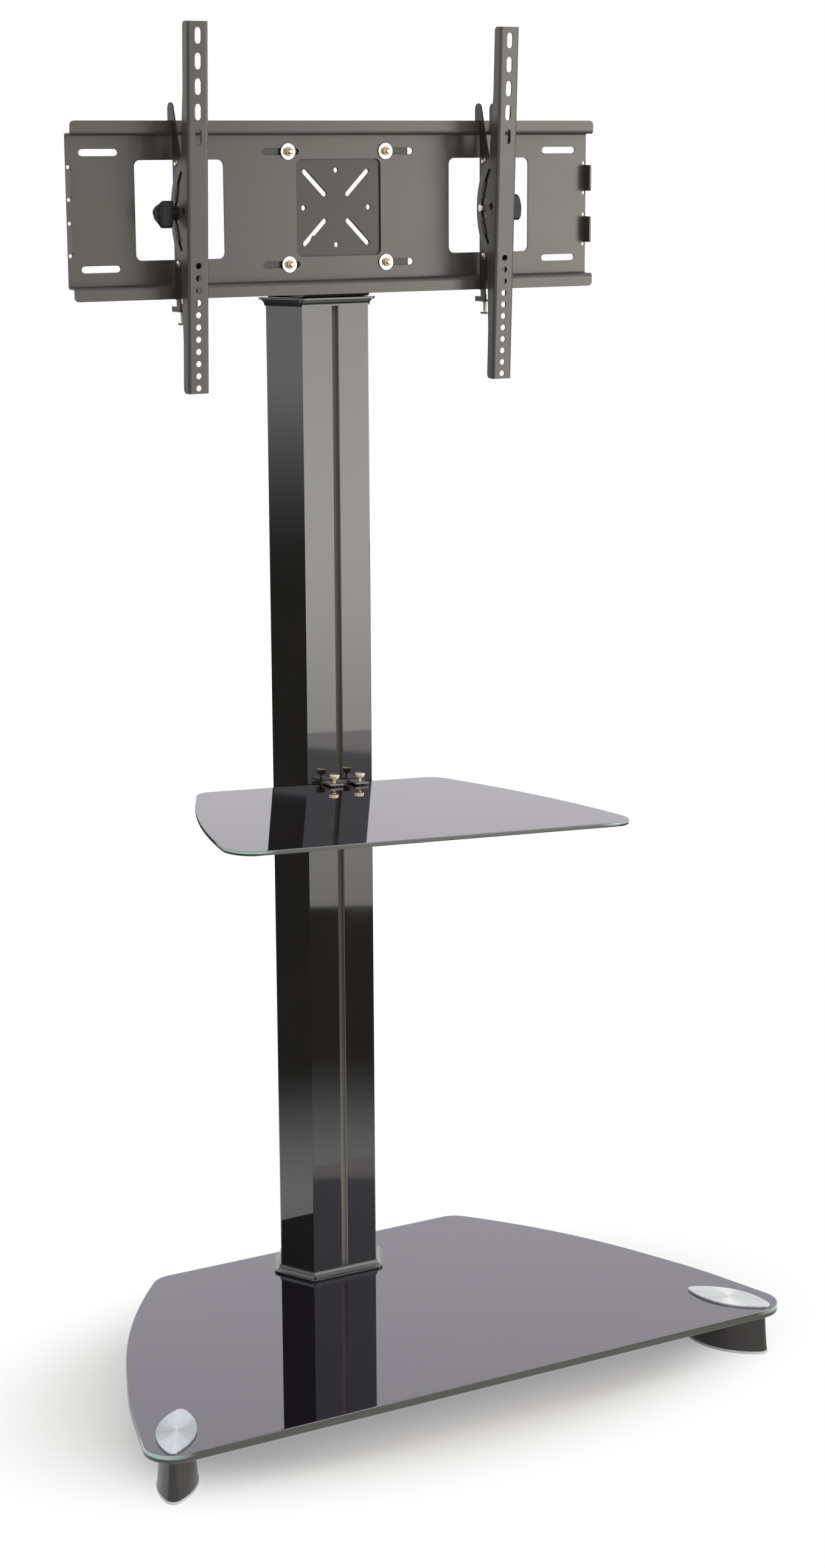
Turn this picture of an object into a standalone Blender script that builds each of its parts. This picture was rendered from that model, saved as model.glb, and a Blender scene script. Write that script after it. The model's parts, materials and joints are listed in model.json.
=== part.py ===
"""Television floor stand: glass base, six-sided column, clamped glass shelf and tilting bracket.

Units are metres and +Z is up. The front is -Y and +X is to the right seen from the front. The
origin is on the floor, below the middle of the column's front face.
"""

import math

import bmesh
import bpy
from mathutils import Vector

# General: the gap between touching pieces, a small chamfer, how far a cutter reaches past what it
# cuts, how deep a joined-on piece sinks into the other, and the sides of a round
GAP = 0.0003
EASE = 0.0006
CUT_PAST = 0.002
SINK = 0.001
ROUND_STEPS = 12

# Base glass
BASE_THICKNESS = 0.012
BASE_SHIFT = 0.003
BASE_FRONT_HALF = 0.512
BASE_BACK_HALF = 0.2546
BASE_FRONT_Y = -0.424
BASE_BACK_Y = 0.125
BASE_BEND_SHARES = ((0.30, 0.052, 1.35), (0.71, 0.074, 1.55))
BASE_CORNER = 0.040
BASE_ARRIS = 0.0012
BASE_CLEARANCE = 0.060

# Front feet
FOOT_INSET = 0.0702
FOOT_SETBACK = 0.063
FOOT_TURN_DEG = 30.0
FOOT_TOP_LENGTH = 0.116
FOOT_TOP_WIDTH = 0.047
FOOT_FLARE = 0.0035
FOOT_TIP = 0.007
FOOT_PAD_HEIGHT = 0.004
FOOT_PAD_RIM = 0.001
FOOT_GASKET_HEIGHT = 0.0025
FOOT_GASKET_RIM = 0.0005
CAP_LENGTH = 0.129
CAP_WIDTH = 0.054
CAP_TIP = 0.008
CAP_HEIGHT = 0.003
CAP_EDGE = 0.0009
STUD_RADIUS = 0.005
STUD_DEPTH = 0.028
STUD_CLEARANCE = 0.001

# Support under the column
REAR_FOOT_LENGTH = 0.300
REAR_FOOT_WIDTH = 0.124
REAR_FOOT_TIP = 0.055
REAR_FLANGE = 0.010

# Column
COLUMN_FRONT_HALF = 0.052
COLUMN_MIDDLE_HALF = 0.080
COLUMN_DEPTH = 0.108
COLUMN_WALL = 0.003
COLUMN_FRONT_EDGE = 0.001
COLUMN_SIDE_EDGE = 0.004
GROOVE_MOUTH = 0.0103
GROOVE_LIP = 0.0035
GROOVE_WIDTH = 0.020
GROOVE_ROOM = 0.0075
PORT_X = 0.044
PORT_Y = 0.009
PORT_BLOCK = 0.018
SCREW_RADIUS = 0.003
SCREW_REACH = 0.022
COLUMN_BOLT_HEAD_RADIUS = 0.0066
COLUMN_BOLT_HEAD = 0.0048

# Collars
COLLAR_HEIGHT = 0.012
COLLAR_FLARE = 0.0100
COLLAR_FLANGE = 0.0034
COLLAR_RIM = 0.0020
COLLAR_STEPS = 5

# Television bracket
PLATE_HEIGHT = 1.632
PLATE_FACE_Y = -0.010
PLATE_SHIFT = 0.0027
PLATE_LENGTH = 0.800
PLATE_SHEET = 0.0025
PLATE_WEB = 0.200
PLATE_LIP = 0.0155
PLATE_STANDOFF = 0.019
PLATE_BEND = 0.002
PLATE_CORNER = 0.006
WINDOW_SIZE = 0.130
WINDOW_CORNER = 0.008
WINDOW_X = 0.2385
BOLT_PATTERN = 0.150
BOLT_SLOT_X = 0.0885
SLOT_LENGTH = 0.056
SLOT_WIDTH = 0.009
WALL_SLOT_INSET = 0.046
TAB_LOW = 0.018
TAB_HIGH = 0.054
TAB_REACH = 0.015
TAB_CORNER = 0.003
TAB_RELIEF = 0.0028
TAB_RELIEF_IN = 0.0005

# Head bracket
HEAD_SHEET = 0.004
HEAD_WIDTH = 0.224
HEAD_TALL = 0.190
HEAD_CORNER = 0.010
HEAD_BEND = 0.003
HEAD_FOOT_BACK = 0.004
HEAD_CROSS = 0.100
HEAD_HOLE_RADIUS = 0.0037
CROSS_SLOT_IN = 0.018
CROSS_SLOT_OUT = 0.048
GUSSET_X = 0.030
GUSSET_REACH = 0.080
GUSSET_END = 0.008
HEAD_NECK_HALF = 0.0511
HEAD_SCREW_HEAD_RADIUS = 0.006
HEAD_SCREW_HEAD = 0.0036
COLUMN_TOP_DROP = 0.121

# Plate fasteners
PLATE_BOLT_RADIUS = 0.003
PLATE_BOLT_HEAD_FLATS = 0.010
PLATE_BOLT_HEAD = 0.004
WASHER_RADIUS = 0.011
WASHER_HEIGHT = 0.0016
WASHER_EDGE = 0.0004
NUT_FLATS = 0.0105
NUT_HEIGHT = 0.005
NUT_CHAMFER = 0.0008
BOLT_TIP = 0.003

# Hook brackets and arms
ARM_LEFT_X = -0.2415
ARM_RIGHT_X = 0.2275
ARM_WIDTH = 0.030
ARM_SHEET = 0.002
ARM_BEND = 0.0015
ARM_TOP = 0.2415
ARM_BOTTOM = -0.2365
ARM_FACE = 0.038
ARM_FLANGE = 0.016
ARM_FLANGE_CORNER = 0.006
ARM_TAPER_TOP = 0.1545
ARM_TAPER_BOTTOM = -0.1695
AXIS_AHEAD = 0.108
AXIS_DROP = 0.0035
TILT_ARC = 0.0926
TILT_ARC_DEG = 49.0
REST_TILT_DEG = 2.4
GUIDE_RADIUS = 0.077
GUIDE_WIDTH = 0.0075
GUIDE_DEG = 41.6
LUG_DEG = (9.5, 28.3)
LUG_PLAY = 0.0006
LUG_PROUD = 0.0015
LOCK_HOLE_DEPTH = 0.0155
LOCK_HOLE_Z = 0.0005
LOCK_HOLE_RADIUS = 0.005
ARM_SLOT_COUNT = 5
ARM_SLOT_TOP = 0.2235
ARM_SLOT_PITCH = 0.032
ARM_SLOT_LENGTH = 0.0215
ARM_SLOT_WIDTH = 0.009
ARM_HOLE_COUNT = 11
ARM_HOLE_LOW = -0.2292
ARM_HOLE_PITCH = 0.016
ARM_HOLE_RADIUS = 0.0042
HOOK_SHEET = 0.002
HOOK_TIP_RADIUS = 0.0085
HOOK_TIP_BACK = 0.0012
HOOK_RISE = 0.0235
HOOK_GRIP = 0.0085
HOOK_SHOULDER = 0.0045
HOOK_BELLY_Y = -0.052
HOOK_BELLY_TOP = 0.040
HOOK_BELLY_BOTTOM = -0.050
HOOK_BREAST_Y = -0.041
HOOK_BREAST_DROP = 0.042
HOOK_LEG_Y = -0.034
HOOK_LEG_TOP = -0.108
HOOK_LEG_BACK = 0.003
HOOK_LIP_ROOM = 0.001
HOOK_FOOT_TOP = -0.1253
HOOK_FOOT_HEIGHT = 0.007
HOOK_FOOT_END = -0.0070
HOOK_ROUND = 0.003
HOOK_ROOM = 0.120
RIVET_Y = -0.0305
RIVET_TOP_Z = 0.0606
RIVET_BOTTOM_Z = -0.070
RIVET_RADIUS = 0.0025
RIVET_HEAD_RADIUS = 0.005
RIVET_HEAD = 0.0016
TILT_BOLT_RADIUS = 0.003
TILT_BOLT_HEAD_FLATS = 0.010
TILT_BOLT_HEAD = 0.004
KNOB_BOSS_RADIUS = 0.00875
KNOB_BOSS = 0.0105
KNOB_LENGTH = 0.017
KNOB_RADIUS = 0.0145
KNOB_LOBE = 0.0050
KNOB_EDGE = 0.0015
KNOB_CROWN_RADIUS = 0.007
KNOB_CROWN = 0.0009
KNOB_THREAD = 0.022
KNOB_THREAD_ROOM = 0.001
SAFETY_Y = -0.0125
SAFETY_RADIUS = 0.0028
SAFETY_TIP_Z = -0.122
SAFETY_HEAD_Z = -0.1472
SAFETY_HEAD_RADIUS = 0.0065
SAFETY_HEAD = 0.0035

# Shelf
SHELF_HEIGHT = 0.8237
SHELF_ROLL_DEG = 3.0
SHELF_THICKNESS = 0.006
SHELF_OFFSET = -0.0356
SHELF_FRONT_HALF = 0.3134
SHELF_BACK_HALF = 0.192
SHELF_DEPTH = 0.361
SHELF_BEND_SHARES = ((0.5, 0.072, 2.5),)
SHELF_CORNER = 0.034
SHELF_ARRIS = 0.0008
CLAMP_SHEET = 0.0025
CLAMP_BEND = 0.001
CLAMP_WIDTH = 0.021
CLAMP_PITCH = 0.041
CLAMP_REACH = 0.029
CLAMP_LOWER_REACH = 0.031
CLAMP_AIR = 0.002
CLAMP_CORNER = 0.002
CLAMP_PAD = 0.0018
CLAMP_PAD_WIDTH = 0.020
CLAMP_PAD_LENGTH = 0.0235
TONGUE_HALF = 0.018
TONGUE_DROP = 0.036
TONGUE_CORNER = 0.005
SLIDE_BOLT_DROP = 0.030
SLIDE_BOLT_HEAD_RADIUS = 0.0057
SLIDE_BOLT_HEAD = 0.0033
THUMB_SCREW_Y = -0.0203
THUMB_RADIUS = 0.0023
THUMB_REACH = 0.0075
THUMB_HEAD_RADIUS = 0.007
THUMB_HEAD = 0.005
THUMB_RIDGE_COUNT = 16
THUMB_RIDGE_DEPTH = 0.0003
SLIDE_NUT_SIDE = 0.018
SLIDE_NUT_HEIGHT = 0.005
SLIDE_BOLT_PROUD = 0.001

# Values that follow from the ones above
FOOT_X = BASE_FRONT_HALF - FOOT_INSET
FOOT_Y = BASE_FRONT_Y + FOOT_SETBACK
GLASS_TOP = BASE_CLEARANCE + BASE_THICKNESS
COLUMN_TOP = PLATE_HEIGHT - COLUMN_TOP_DROP
HEAD_FACE_Y = PLATE_FACE_Y + PLATE_SHEET + GAP
HEAD_BACK_Y = HEAD_FACE_Y + HEAD_SHEET
ARM_INNER_HALF = ARM_WIDTH / 2 - ARM_SHEET
HOOK_HALF = ARM_INNER_HALF - GAP
LIP_TOP = PLATE_WEB / 2 + PLATE_LIP
WALL_SLOT_X = PLATE_LENGTH / 2 - WALL_SLOT_INSET
HOOK_BACK_Y = -PLATE_STANDOFF - GAP

LOOKS = {
    "base_glass": ((0.245, 0.225, 0.265), 0.05, 0.0),
    "shelf_glass": ((0.420, 0.405, 0.455), 0.05, 0.0),
    "column_black": ((0.018, 0.017, 0.016), 0.08, 0.0),
    "collar_black": ((0.025, 0.024, 0.022), 0.15, 0.0),
    "bracket_black": ((0.110, 0.104, 0.094), 0.42, 0.3),
    "knob_black": ((0.040, 0.036, 0.032), 0.35, 0.0),
    "foot_black": ((0.060, 0.055, 0.050), 0.40, 0.2),
    "brushed_aluminium": ((0.720, 0.740, 0.760), 0.30, 1.0),
    "zinc": ((0.700, 0.680, 0.600), 0.30, 1.0),
    "brass": ((0.740, 0.660, 0.460), 0.28, 1.0),
    "pale_pad": ((0.640, 0.690, 0.670), 0.50, 0.0),
    "rubber": ((0.030, 0.030, 0.030), 0.80, 0.0),
}


def clear_scene():
    """Removes whatever the opened file holds."""
    for obj in list(bpy.data.objects):
        bpy.data.objects.remove(obj, do_unlink=True)


def finish(look):
    """The named Principled material, made once."""
    found = bpy.data.materials.get(look)
    if found:
        return found
    colour, roughness, metallic = LOOKS[look]
    made = bpy.data.materials.new(look)
    made.use_nodes = True
    shader = made.node_tree.nodes["Principled BSDF"]
    shader.inputs["Base Color"].default_value = (*colour, 1.0)
    shader.inputs["Roughness"].default_value = roughness
    shader.inputs["Metallic"].default_value = metallic
    made.diffuse_color = (*colour, 1.0)
    return made


# Outlines: lists of 2-D points, anticlockwise


def arc(centre, radius, start_deg, end_deg, steps):
    """Points on a circle, both ends included."""
    points = []
    for k in range(steps + 1):
        angle = math.radians(start_deg + (end_deg - start_deg) * k / steps)
        points.append(Vector((centre[0] + radius * math.cos(angle), centre[1] + radius * math.sin(angle))))
    return points


def fillet(before, corner, after, radius, steps):
    """Points of a round that replaces one corner."""
    before, corner, after = Vector(before), Vector(corner), Vector(after)
    if radius <= 0:
        return [corner]
    to_before = (before - corner).normalized()
    to_after = (after - corner).normalized()
    half = to_before.angle(to_after) / 2
    centre = corner + (to_before + to_after).normalized() * radius / math.sin(half)
    start = corner + to_before * radius / math.tan(half) - centre
    sweep = math.pi - 2 * half
    if to_before.cross(to_after) > 0:
        sweep = -sweep
    first = math.atan2(start.y, start.x)
    return arc(centre, radius, math.degrees(first), math.degrees(first + sweep), steps)


def rounded(points, radii, steps=4):
    """A closed outline with rounded corners. One radius serves for all, or there is one for each."""
    if not isinstance(radii, (list, tuple)):
        radii = [radii] * len(points)
    outline = []
    for i, corner in enumerate(points):
        outline += fillet(points[i - 1], corner, points[(i + 1) % len(points)], radii[i], steps)
    return outline


def left_of(direction):
    """The unit vector to the left of a direction."""
    return Vector((-direction.y, direction.x)).normalized()


def grown(outline, distance):
    """The outline moved outwards by a distance, or inwards by a negative one."""
    moved = []
    for i, point in enumerate(outline):
        before = -left_of(point - outline[i - 1])
        after = -left_of(outline[(i + 1) % len(outline)] - point)
        moved.append(point + (before + after) * distance / (1 + before.dot(after)))
    return moved


def bent_strip(path, sheet, bend, steps=3):
    """The section of a bent sheet that lies to the left of an open path."""
    points = [Vector(p) for p in path]
    line = [points[0]]
    for before, corner, after in zip(points, points[1:], points[2:]):
        turns_left = (corner - before).cross(after - corner) > 0
        line += fillet(before, corner, after, bend + sheet if turns_left else bend, steps)
    line.append(points[-1])
    other = []
    for i, point in enumerate(line):
        before = left_of(point - line[i - 1]) if i else left_of(line[1] - point)
        after = left_of(line[i + 1] - point) if i + 1 < len(line) else before
        other.append(point + (before + after) * sheet / (1 + before.dot(after)))
    return line + other[::-1]


def rectangle(width, height, centre=(0.0, 0.0), corner=0.0, steps=4):
    """A rectangle, with rounded corners where a radius is given."""
    x, y = centre
    a, b = width / 2, height / 2
    points = [(x - a, y - b), (x + a, y - b), (x + a, y + b), (x - a, y + b)]
    return rounded(points, corner, steps)


def long_slot(length, width, centre, turn_deg=0.0, steps=4):
    """A slot with round ends. Its length is measured end to end."""
    reach = (length - width) / 2
    points = arc((reach, 0), width / 2, -90, 90, steps) + arc((-reach, 0), width / 2, 90, 270, steps)
    turn = math.radians(turn_deg)
    cos, sin = math.cos(turn), math.sin(turn)
    return [Vector((centre[0] + p.x * cos - p.y * sin, centre[1] + p.x * sin + p.y * cos)) for p in points]


def arc_slot(radius, width, low_deg, high_deg, steps=8):
    """A curved slot round the origin. Its round ends reach the two angles."""
    end = math.degrees(width / 2 / radius)
    low, high = low_deg + end, high_deg - end
    cap_low = (radius * math.cos(math.radians(low)), radius * math.sin(math.radians(low)))
    cap_high = (radius * math.cos(math.radians(high)), radius * math.sin(math.radians(high)))
    outline = arc((0, 0), radius + width / 2, low, high, steps)
    outline += arc(cap_high, width / 2, high, high + 180, 4)[1:-1]
    outline += arc((0, 0), radius - width / 2, high, low, steps)
    outline += arc(cap_low, width / 2, low + 180, low + 360, 4)[1:-1]
    return outline


def bowed_plan(front_half, back_half, front_y, back_y, bends, corner, shift=0.0):
    """A glass plan with straight front and back edges and bowed sides.

    Each bend of a side is its place along the side, its bulge and its radius, all as shares of
    the side's length.
    """
    front, back = Vector((front_half, front_y)), Vector((back_half, back_y))
    side = back - front
    side_points = [front + side * at - left_of(side) * side.length * bulge for at, bulge, _ in bends]
    right = [front, *side_points, back]
    radii = [corner, *(radius * side.length for _, _, radius in bends), corner]
    points = right + [Vector((-p.x, p.y)) for p in reversed(right)]
    plan = rounded(points, radii + radii[::-1], 6)
    return [Vector((p.x + shift, p.y)) for p in plan]


def lens_plan(length, width, tip, centre=(0.0, 0.0), turn_deg=0.0, steps=8):
    """Two arcs that meet in rounded tips. The length lies along Y before the turn."""
    radius = ((length / 2 - tip) ** 2 - tip**2 + width**2 / 4) / (width - 2 * tip)
    side = radius - width / 2
    top = length / 2 - tip
    spread = math.degrees(math.atan2(top, side))
    points = arc((-side, 0), radius, -spread, spread, steps)
    points += arc((0, top), tip, spread, 180 - spread, 4)[1:-1]
    points += arc((side, 0), radius, 180 - spread, 180 + spread, steps)
    points += arc((0, -top), tip, 180 + spread, 360 - spread, 4)[1:-1]
    turn = math.radians(turn_deg)
    cos, sin = math.cos(turn), math.sin(turn)
    return [Vector((centre[0] + p.x * cos - p.y * sin, centre[1] + p.x * sin + p.y * cos)) for p in points]


def column_plan():
    """The column's outer six-sided outline."""
    middle = COLUMN_DEPTH / 2
    points = [
        (-COLUMN_FRONT_HALF, 0),
        (COLUMN_FRONT_HALF, 0),
        (COLUMN_MIDDLE_HALF, middle),
        (COLUMN_FRONT_HALF, COLUMN_DEPTH),
        (-COLUMN_FRONT_HALF, COLUMN_DEPTH),
        (-COLUMN_MIDDLE_HALF, middle),
    ]
    front, side = COLUMN_FRONT_EDGE, COLUMN_SIDE_EDGE
    return rounded(points, [front, front, side, front, front, side], 3)


# Solids


def place(axis, a, b, t):
    """A 3-D point from an outline's two coordinates and its place along the axis."""
    return {"X": (t, a, b), "Y": (a, t, b), "Z": (a, b, t)}[axis]


def add_prism(bm, outline, axis, low, high):
    """A straight prism of an outline between two places along an axis."""
    rings = [[bm.verts.new(place(axis, p[0], p[1], t)) for p in outline] for t in (low, high)]
    close_rings(bm, rings)


def close_rings(bm, rings, wrap=False):
    """Skins rings of equal count, and caps the two ends or joins them."""
    count = len(rings[0])
    pairs = list(zip(rings, rings[1:]))
    if wrap:
        pairs.append((rings[-1], rings[0]))
    for lower, upper in pairs:
        for i in range(count):
            j = (i + 1) % count
            bm.faces.new((lower[i], lower[j], upper[j], upper[i]))
    if not wrap:
        bm.faces.new(rings[0][::-1])
        bm.faces.new(rings[-1])


def add_loft(bm, layers, axis, wrap=False):
    """A solid through outlines of equal count, each with its place along the axis."""
    rings = [[bm.verts.new(place(axis, p[0], p[1], t)) for p in outline] for outline, t in layers]
    close_rings(bm, rings, wrap)


def circle(radius, centre=(0.0, 0.0), count=ROUND_STEPS):
    """A round outline."""
    return arc(centre, radius, 0, 360, count)[:-1]


def hexagon(flats, centre=(0.0, 0.0), count=ROUND_STEPS):
    """A hexagon with as many points as a circle, so that the two can be skinned together."""
    points = []
    for k in range(count):
        angle = math.radians(360 * k / count)
        to_flat = (angle + math.pi / 6) % (math.pi / 3) - math.pi / 6
        radius = flats / 2 / math.cos(to_flat)
        points.append(Vector((centre[0] + radius * math.cos(angle), centre[1] + radius * math.sin(angle))))
    return points


def add_slab(bm, outline, low, high, arris):
    """A flat slab along Z with small chamfers round both faces."""
    inner = grown(outline, -arris)
    add_loft(bm, [(inner, low), (outline, low + arris), (outline, high - arris), (inner, high)], "Z")


def piece(name, bm, look, frame=None, location=(0, 0, 0)):
    """A visible node made from a bmesh."""
    obj = solid(name, bm, frame, location)
    obj.data.materials.append(finish(look))
    obj.data.shade_smooth()
    obj.data.set_sharp_from_angle(angle=math.radians(32))
    return obj


def solid(name, bm, frame, location):
    """An object whose faces point outwards."""
    bmesh.ops.recalc_face_normals(bm, faces=bm.faces)
    mesh = bpy.data.meshes.new(name)
    bm.to_mesh(mesh)
    bm.free()
    obj = bpy.data.objects.new(name, mesh)
    obj.parent = frame
    obj.location = location
    bpy.context.scene.collection.objects.link(obj)
    return obj


def shape(target, bm, operation="DIFFERENCE"):
    """Cuts, joins or trims a piece with a hidden helper that lies in the same frame."""
    count = len(target.modifiers) + 1
    helper = solid(f"{target.name}_helper_{count}", bm, target.parent, target.location)
    helper.hide_render = True
    helper.display_type = "WIRE"
    modifier = target.modifiers.new(f"{operation.lower()}_{count}", "BOOLEAN")
    modifier.operation = operation
    modifier.solver = "EXACT"
    modifier.object = helper


def cut(target, axis, outlines, low, high):
    """Cuts straight openings that share an axis and a depth."""
    bm = bmesh.new()
    for outline in outlines:
        add_prism(bm, outline, axis, low, high)
    shape(target, bm)


def frame_at(name, location, rotation=(0, 0, 0)):
    """An empty that carries the pieces of one moving group."""
    empty = bpy.data.objects.new(name, None)
    empty.location = location
    empty.rotation_euler = rotation
    empty.empty_display_size = 0.05
    bpy.context.scene.collection.objects.link(empty)
    return empty


def mirrored(points):
    """Each point and its mirror image on the other side of X = 0."""
    return [(sign * x, y) for x, y in points for sign in (-1, 1)]


# Base


def port_places():
    """Where the column's four screw ports stand."""
    return mirrored([(PORT_X, PORT_Y), (PORT_X, COLUMN_DEPTH - PORT_Y)])


def make_base_glass():
    bm = bmesh.new()
    plan = bowed_plan(
        BASE_FRONT_HALF, BASE_BACK_HALF, BASE_FRONT_Y, BASE_BACK_Y, BASE_BEND_SHARES, BASE_CORNER, BASE_SHIFT
    )
    add_slab(bm, plan, BASE_CLEARANCE, GLASS_TOP, BASE_ARRIS)
    glass = piece("base_glass", bm, "base_glass")
    holes = [circle(STUD_RADIUS + STUD_CLEARANCE, p) for p in mirrored([(FOOT_X, FOOT_Y)])]
    holes += [circle(SCREW_RADIUS + STUD_CLEARANCE, p) for p in port_places()]
    cut(glass, "Z", holes, BASE_CLEARANCE - CUT_PAST, GLASS_TOP + CUT_PAST)


def foot_lens(side, spread, centre=(0.0, 0.0)):
    """The foot's outline, wider than its top by a spread on every side."""
    length = FOOT_TOP_LENGTH + 2 * spread
    width = FOOT_TOP_WIDTH + 2 * spread
    return lens_plan(length, width, FOOT_TIP + spread, centre, side * FOOT_TURN_DEG)


def make_front_foot(side, label):
    """Cap, stud, gasket, foot and pad of one front corner. They share a frame on the floor."""
    frame = frame_at(f"front_corner_{label}", (side * FOOT_X, FOOT_Y, 0))
    gasket_low = BASE_CLEARANCE - GAP - FOOT_GASKET_HEIGHT
    foot_high = gasket_low - GAP
    foot_low = FOOT_PAD_HEIGHT + GAP

    bm = bmesh.new()
    add_slab(bm, foot_lens(side, FOOT_FLARE + FOOT_PAD_RIM), 0, FOOT_PAD_HEIGHT, EASE)
    piece(f"foot_pad_{label}", bm, "pale_pad", frame)

    bm = bmesh.new()
    layers = [(foot_lens(side, FOOT_FLARE - EASE), foot_low), (foot_lens(side, FOOT_FLARE), foot_low + EASE)]
    layers += [(foot_lens(side, FOOT_FLARE * 0.4), (foot_low + foot_high) / 2)]
    layers += [(foot_lens(side, 0), foot_high)]
    add_loft(bm, layers, "Z")
    foot = piece(f"front_foot_{label}", bm, "foot_black", frame)
    bore = [circle(STUD_RADIUS + GAP)]
    cut(foot, "Z", bore, foot_high - STUD_DEPTH - GAP, foot_high + CUT_PAST)

    bm = bmesh.new()
    gasket_high = gasket_low + FOOT_GASKET_HEIGHT
    add_slab(bm, foot_lens(side, FOOT_GASKET_RIM), gasket_low, gasket_high, EASE)
    gasket = piece(f"foot_gasket_{label}", bm, "pale_pad", frame)
    cut(gasket, "Z", bore, gasket_low - CUT_PAST, gasket_high + CUT_PAST)

    bm = bmesh.new()
    add_slab(bm, circle(STUD_RADIUS), foot_high - STUD_DEPTH, GLASS_TOP, EASE)
    piece(f"foot_stud_{label}", bm, "zinc", frame)

    bm = bmesh.new()
    low = GLASS_TOP + GAP
    plan = lens_plan(CAP_LENGTH, CAP_WIDTH, CAP_TIP, turn_deg=side * FOOT_TURN_DEG)
    layers = [(plan, low), (plan, low + CAP_HEIGHT - CAP_EDGE)]
    layers += [(grown(plan, -CAP_EDGE * 0.4), low + CAP_HEIGHT - CAP_EDGE * 0.3)]
    layers += [(grown(plan, -CAP_EDGE * 1.4), low + CAP_HEIGHT)]
    add_loft(bm, layers, "Z")
    piece(f"foot_cap_{label}", bm, "brushed_aluminium", frame)


def rear_lens(spread):
    """The rear support's outline: a lens that lies across the stand, under the column."""
    length, width = REAR_FOOT_LENGTH + 2 * spread, REAR_FOOT_WIDTH + 2 * spread
    return lens_plan(length, width, REAR_FOOT_TIP + spread, (0, COLUMN_DEPTH / 2), 90, 7)


def make_rear_foot():
    """The support under the column, its pad, and the four bolts that hold the column down."""
    bm = bmesh.new()
    add_slab(bm, rear_lens(FOOT_PAD_RIM), 0, FOOT_PAD_HEIGHT, EASE)
    piece("rear_foot_pad", bm, "pale_pad")

    bm = bmesh.new()
    low, high = FOOT_PAD_HEIGHT + GAP, BASE_CLEARANCE - GAP
    add_slab(bm, rear_lens(0), low, high, EASE)
    foot = piece("rear_foot", bm, "foot_black")
    seat = high - REAR_FLANGE
    recess = COLUMN_BOLT_HEAD_RADIUS + GAP
    cut(foot, "Z", [circle(recess, p) for p in port_places()], low - CUT_PAST, seat)
    cut(foot, "Z", [circle(SCREW_RADIUS + GAP, p) for p in port_places()], seat - SINK, high + CUT_PAST)
    for number, (x, y) in enumerate(port_places(), 1):
        bolt = make_screw(COLUMN_BOLT_HEAD_RADIUS, COLUMN_BOLT_HEAD, GLASS_TOP + SCREW_REACH - seat)
        piece(f"column_bolt_{number}", bolt, "zinc", location=(x, y, seat - GAP))


def make_screw(head_radius, head, length):
    """A screw for the column's ports. It points up from a head below Z = 0."""
    bm = bmesh.new()
    radius = SCREW_RADIUS
    rings = [(head_radius - EASE, -head), (head_radius, -head + EASE), (head_radius, 0), (radius, 0)]
    rings += [(radius, length - EASE), (radius - EASE, length)]
    add_loft(bm, [(circle(r), z) for r, z in rings], "Z")
    return bm


# Column


def column_cavity():
    """The hollow inside the column. It leaves the groove's walls and the four port blocks."""
    wall = COLUMN_WALL
    middle = COLUMN_DEPTH / 2
    slope = (COLUMN_MIDDLE_HALF - COLUMN_FRONT_HALF) / middle
    side_wall = wall * math.sqrt(1 + slope**2)
    groove_half = GROOVE_WIDTH / 2 + wall
    groove_back = GROOVE_LIP + GROOVE_ROOM + wall
    block_y = PORT_Y + wall + PORT_BLOCK

    def inner_side(y):
        return COLUMN_FRONT_HALF + slope * min(y, COLUMN_DEPTH - y) - side_wall

    right = [
        (groove_half, groove_back),
        (groove_half, wall),
        (PORT_X - PORT_BLOCK, wall),
        (inner_side(block_y), block_y),
        (inner_side(middle), middle),
        (inner_side(block_y), COLUMN_DEPTH - block_y),
        (PORT_X - PORT_BLOCK, COLUMN_DEPTH - wall),
    ]
    return [Vector(p) for p in right] + [Vector((-x, y)) for x, y in reversed(right)]


def groove_plan():
    """The T-groove's section, open through the column's front face."""
    mouth, half = GROOVE_MOUTH / 2, GROOVE_WIDTH / 2
    back = GROOVE_LIP + GROOVE_ROOM
    right = [(mouth, -CUT_PAST), (mouth, GROOVE_LIP), (half, GROOVE_LIP), (half, back)]
    return [Vector(p) for p in right] + [Vector((-x, y)) for x, y in reversed(right)]


def make_column():
    low, high = GLASS_TOP + GAP, COLUMN_TOP
    bm = bmesh.new()
    add_prism(bm, column_plan(), "Z", low, high)
    column = piece("column", bm, "column_black")
    ports = [circle(SCREW_RADIUS + GAP, p) for p in port_places()]
    cut(column, "Z", [column_cavity(), groove_plan(), *ports], low - CUT_PAST, high + CUT_PAST)


def make_collar(name, seat_z, direction):
    """A coved ring round the column. Its flange lies at the seat, and the cove narrows away from it."""
    start = COLLAR_FLARE - EASE
    cove = start - COLLAR_RIM
    rise = COLLAR_HEIGHT - COLLAR_FLANGE
    profile = [(GAP, 0), (start, 0), (COLLAR_FLARE, EASE), (COLLAR_FLARE, COLLAR_FLANGE - EASE)]
    for k in range(COLLAR_STEPS + 1):
        angle = math.pi / 2 * k / COLLAR_STEPS
        profile.append((start - cove * math.sin(angle), COLLAR_FLANGE + rise * (1 - math.cos(angle))))
    profile.append((GAP, COLLAR_HEIGHT))
    plan = column_plan()
    bm = bmesh.new()
    add_loft(bm, [(grown(plan, out), seat_z + direction * up) for out, up in profile], "Z", wrap=True)
    piece(name, bm, "collar_black")


# Shelf


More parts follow.
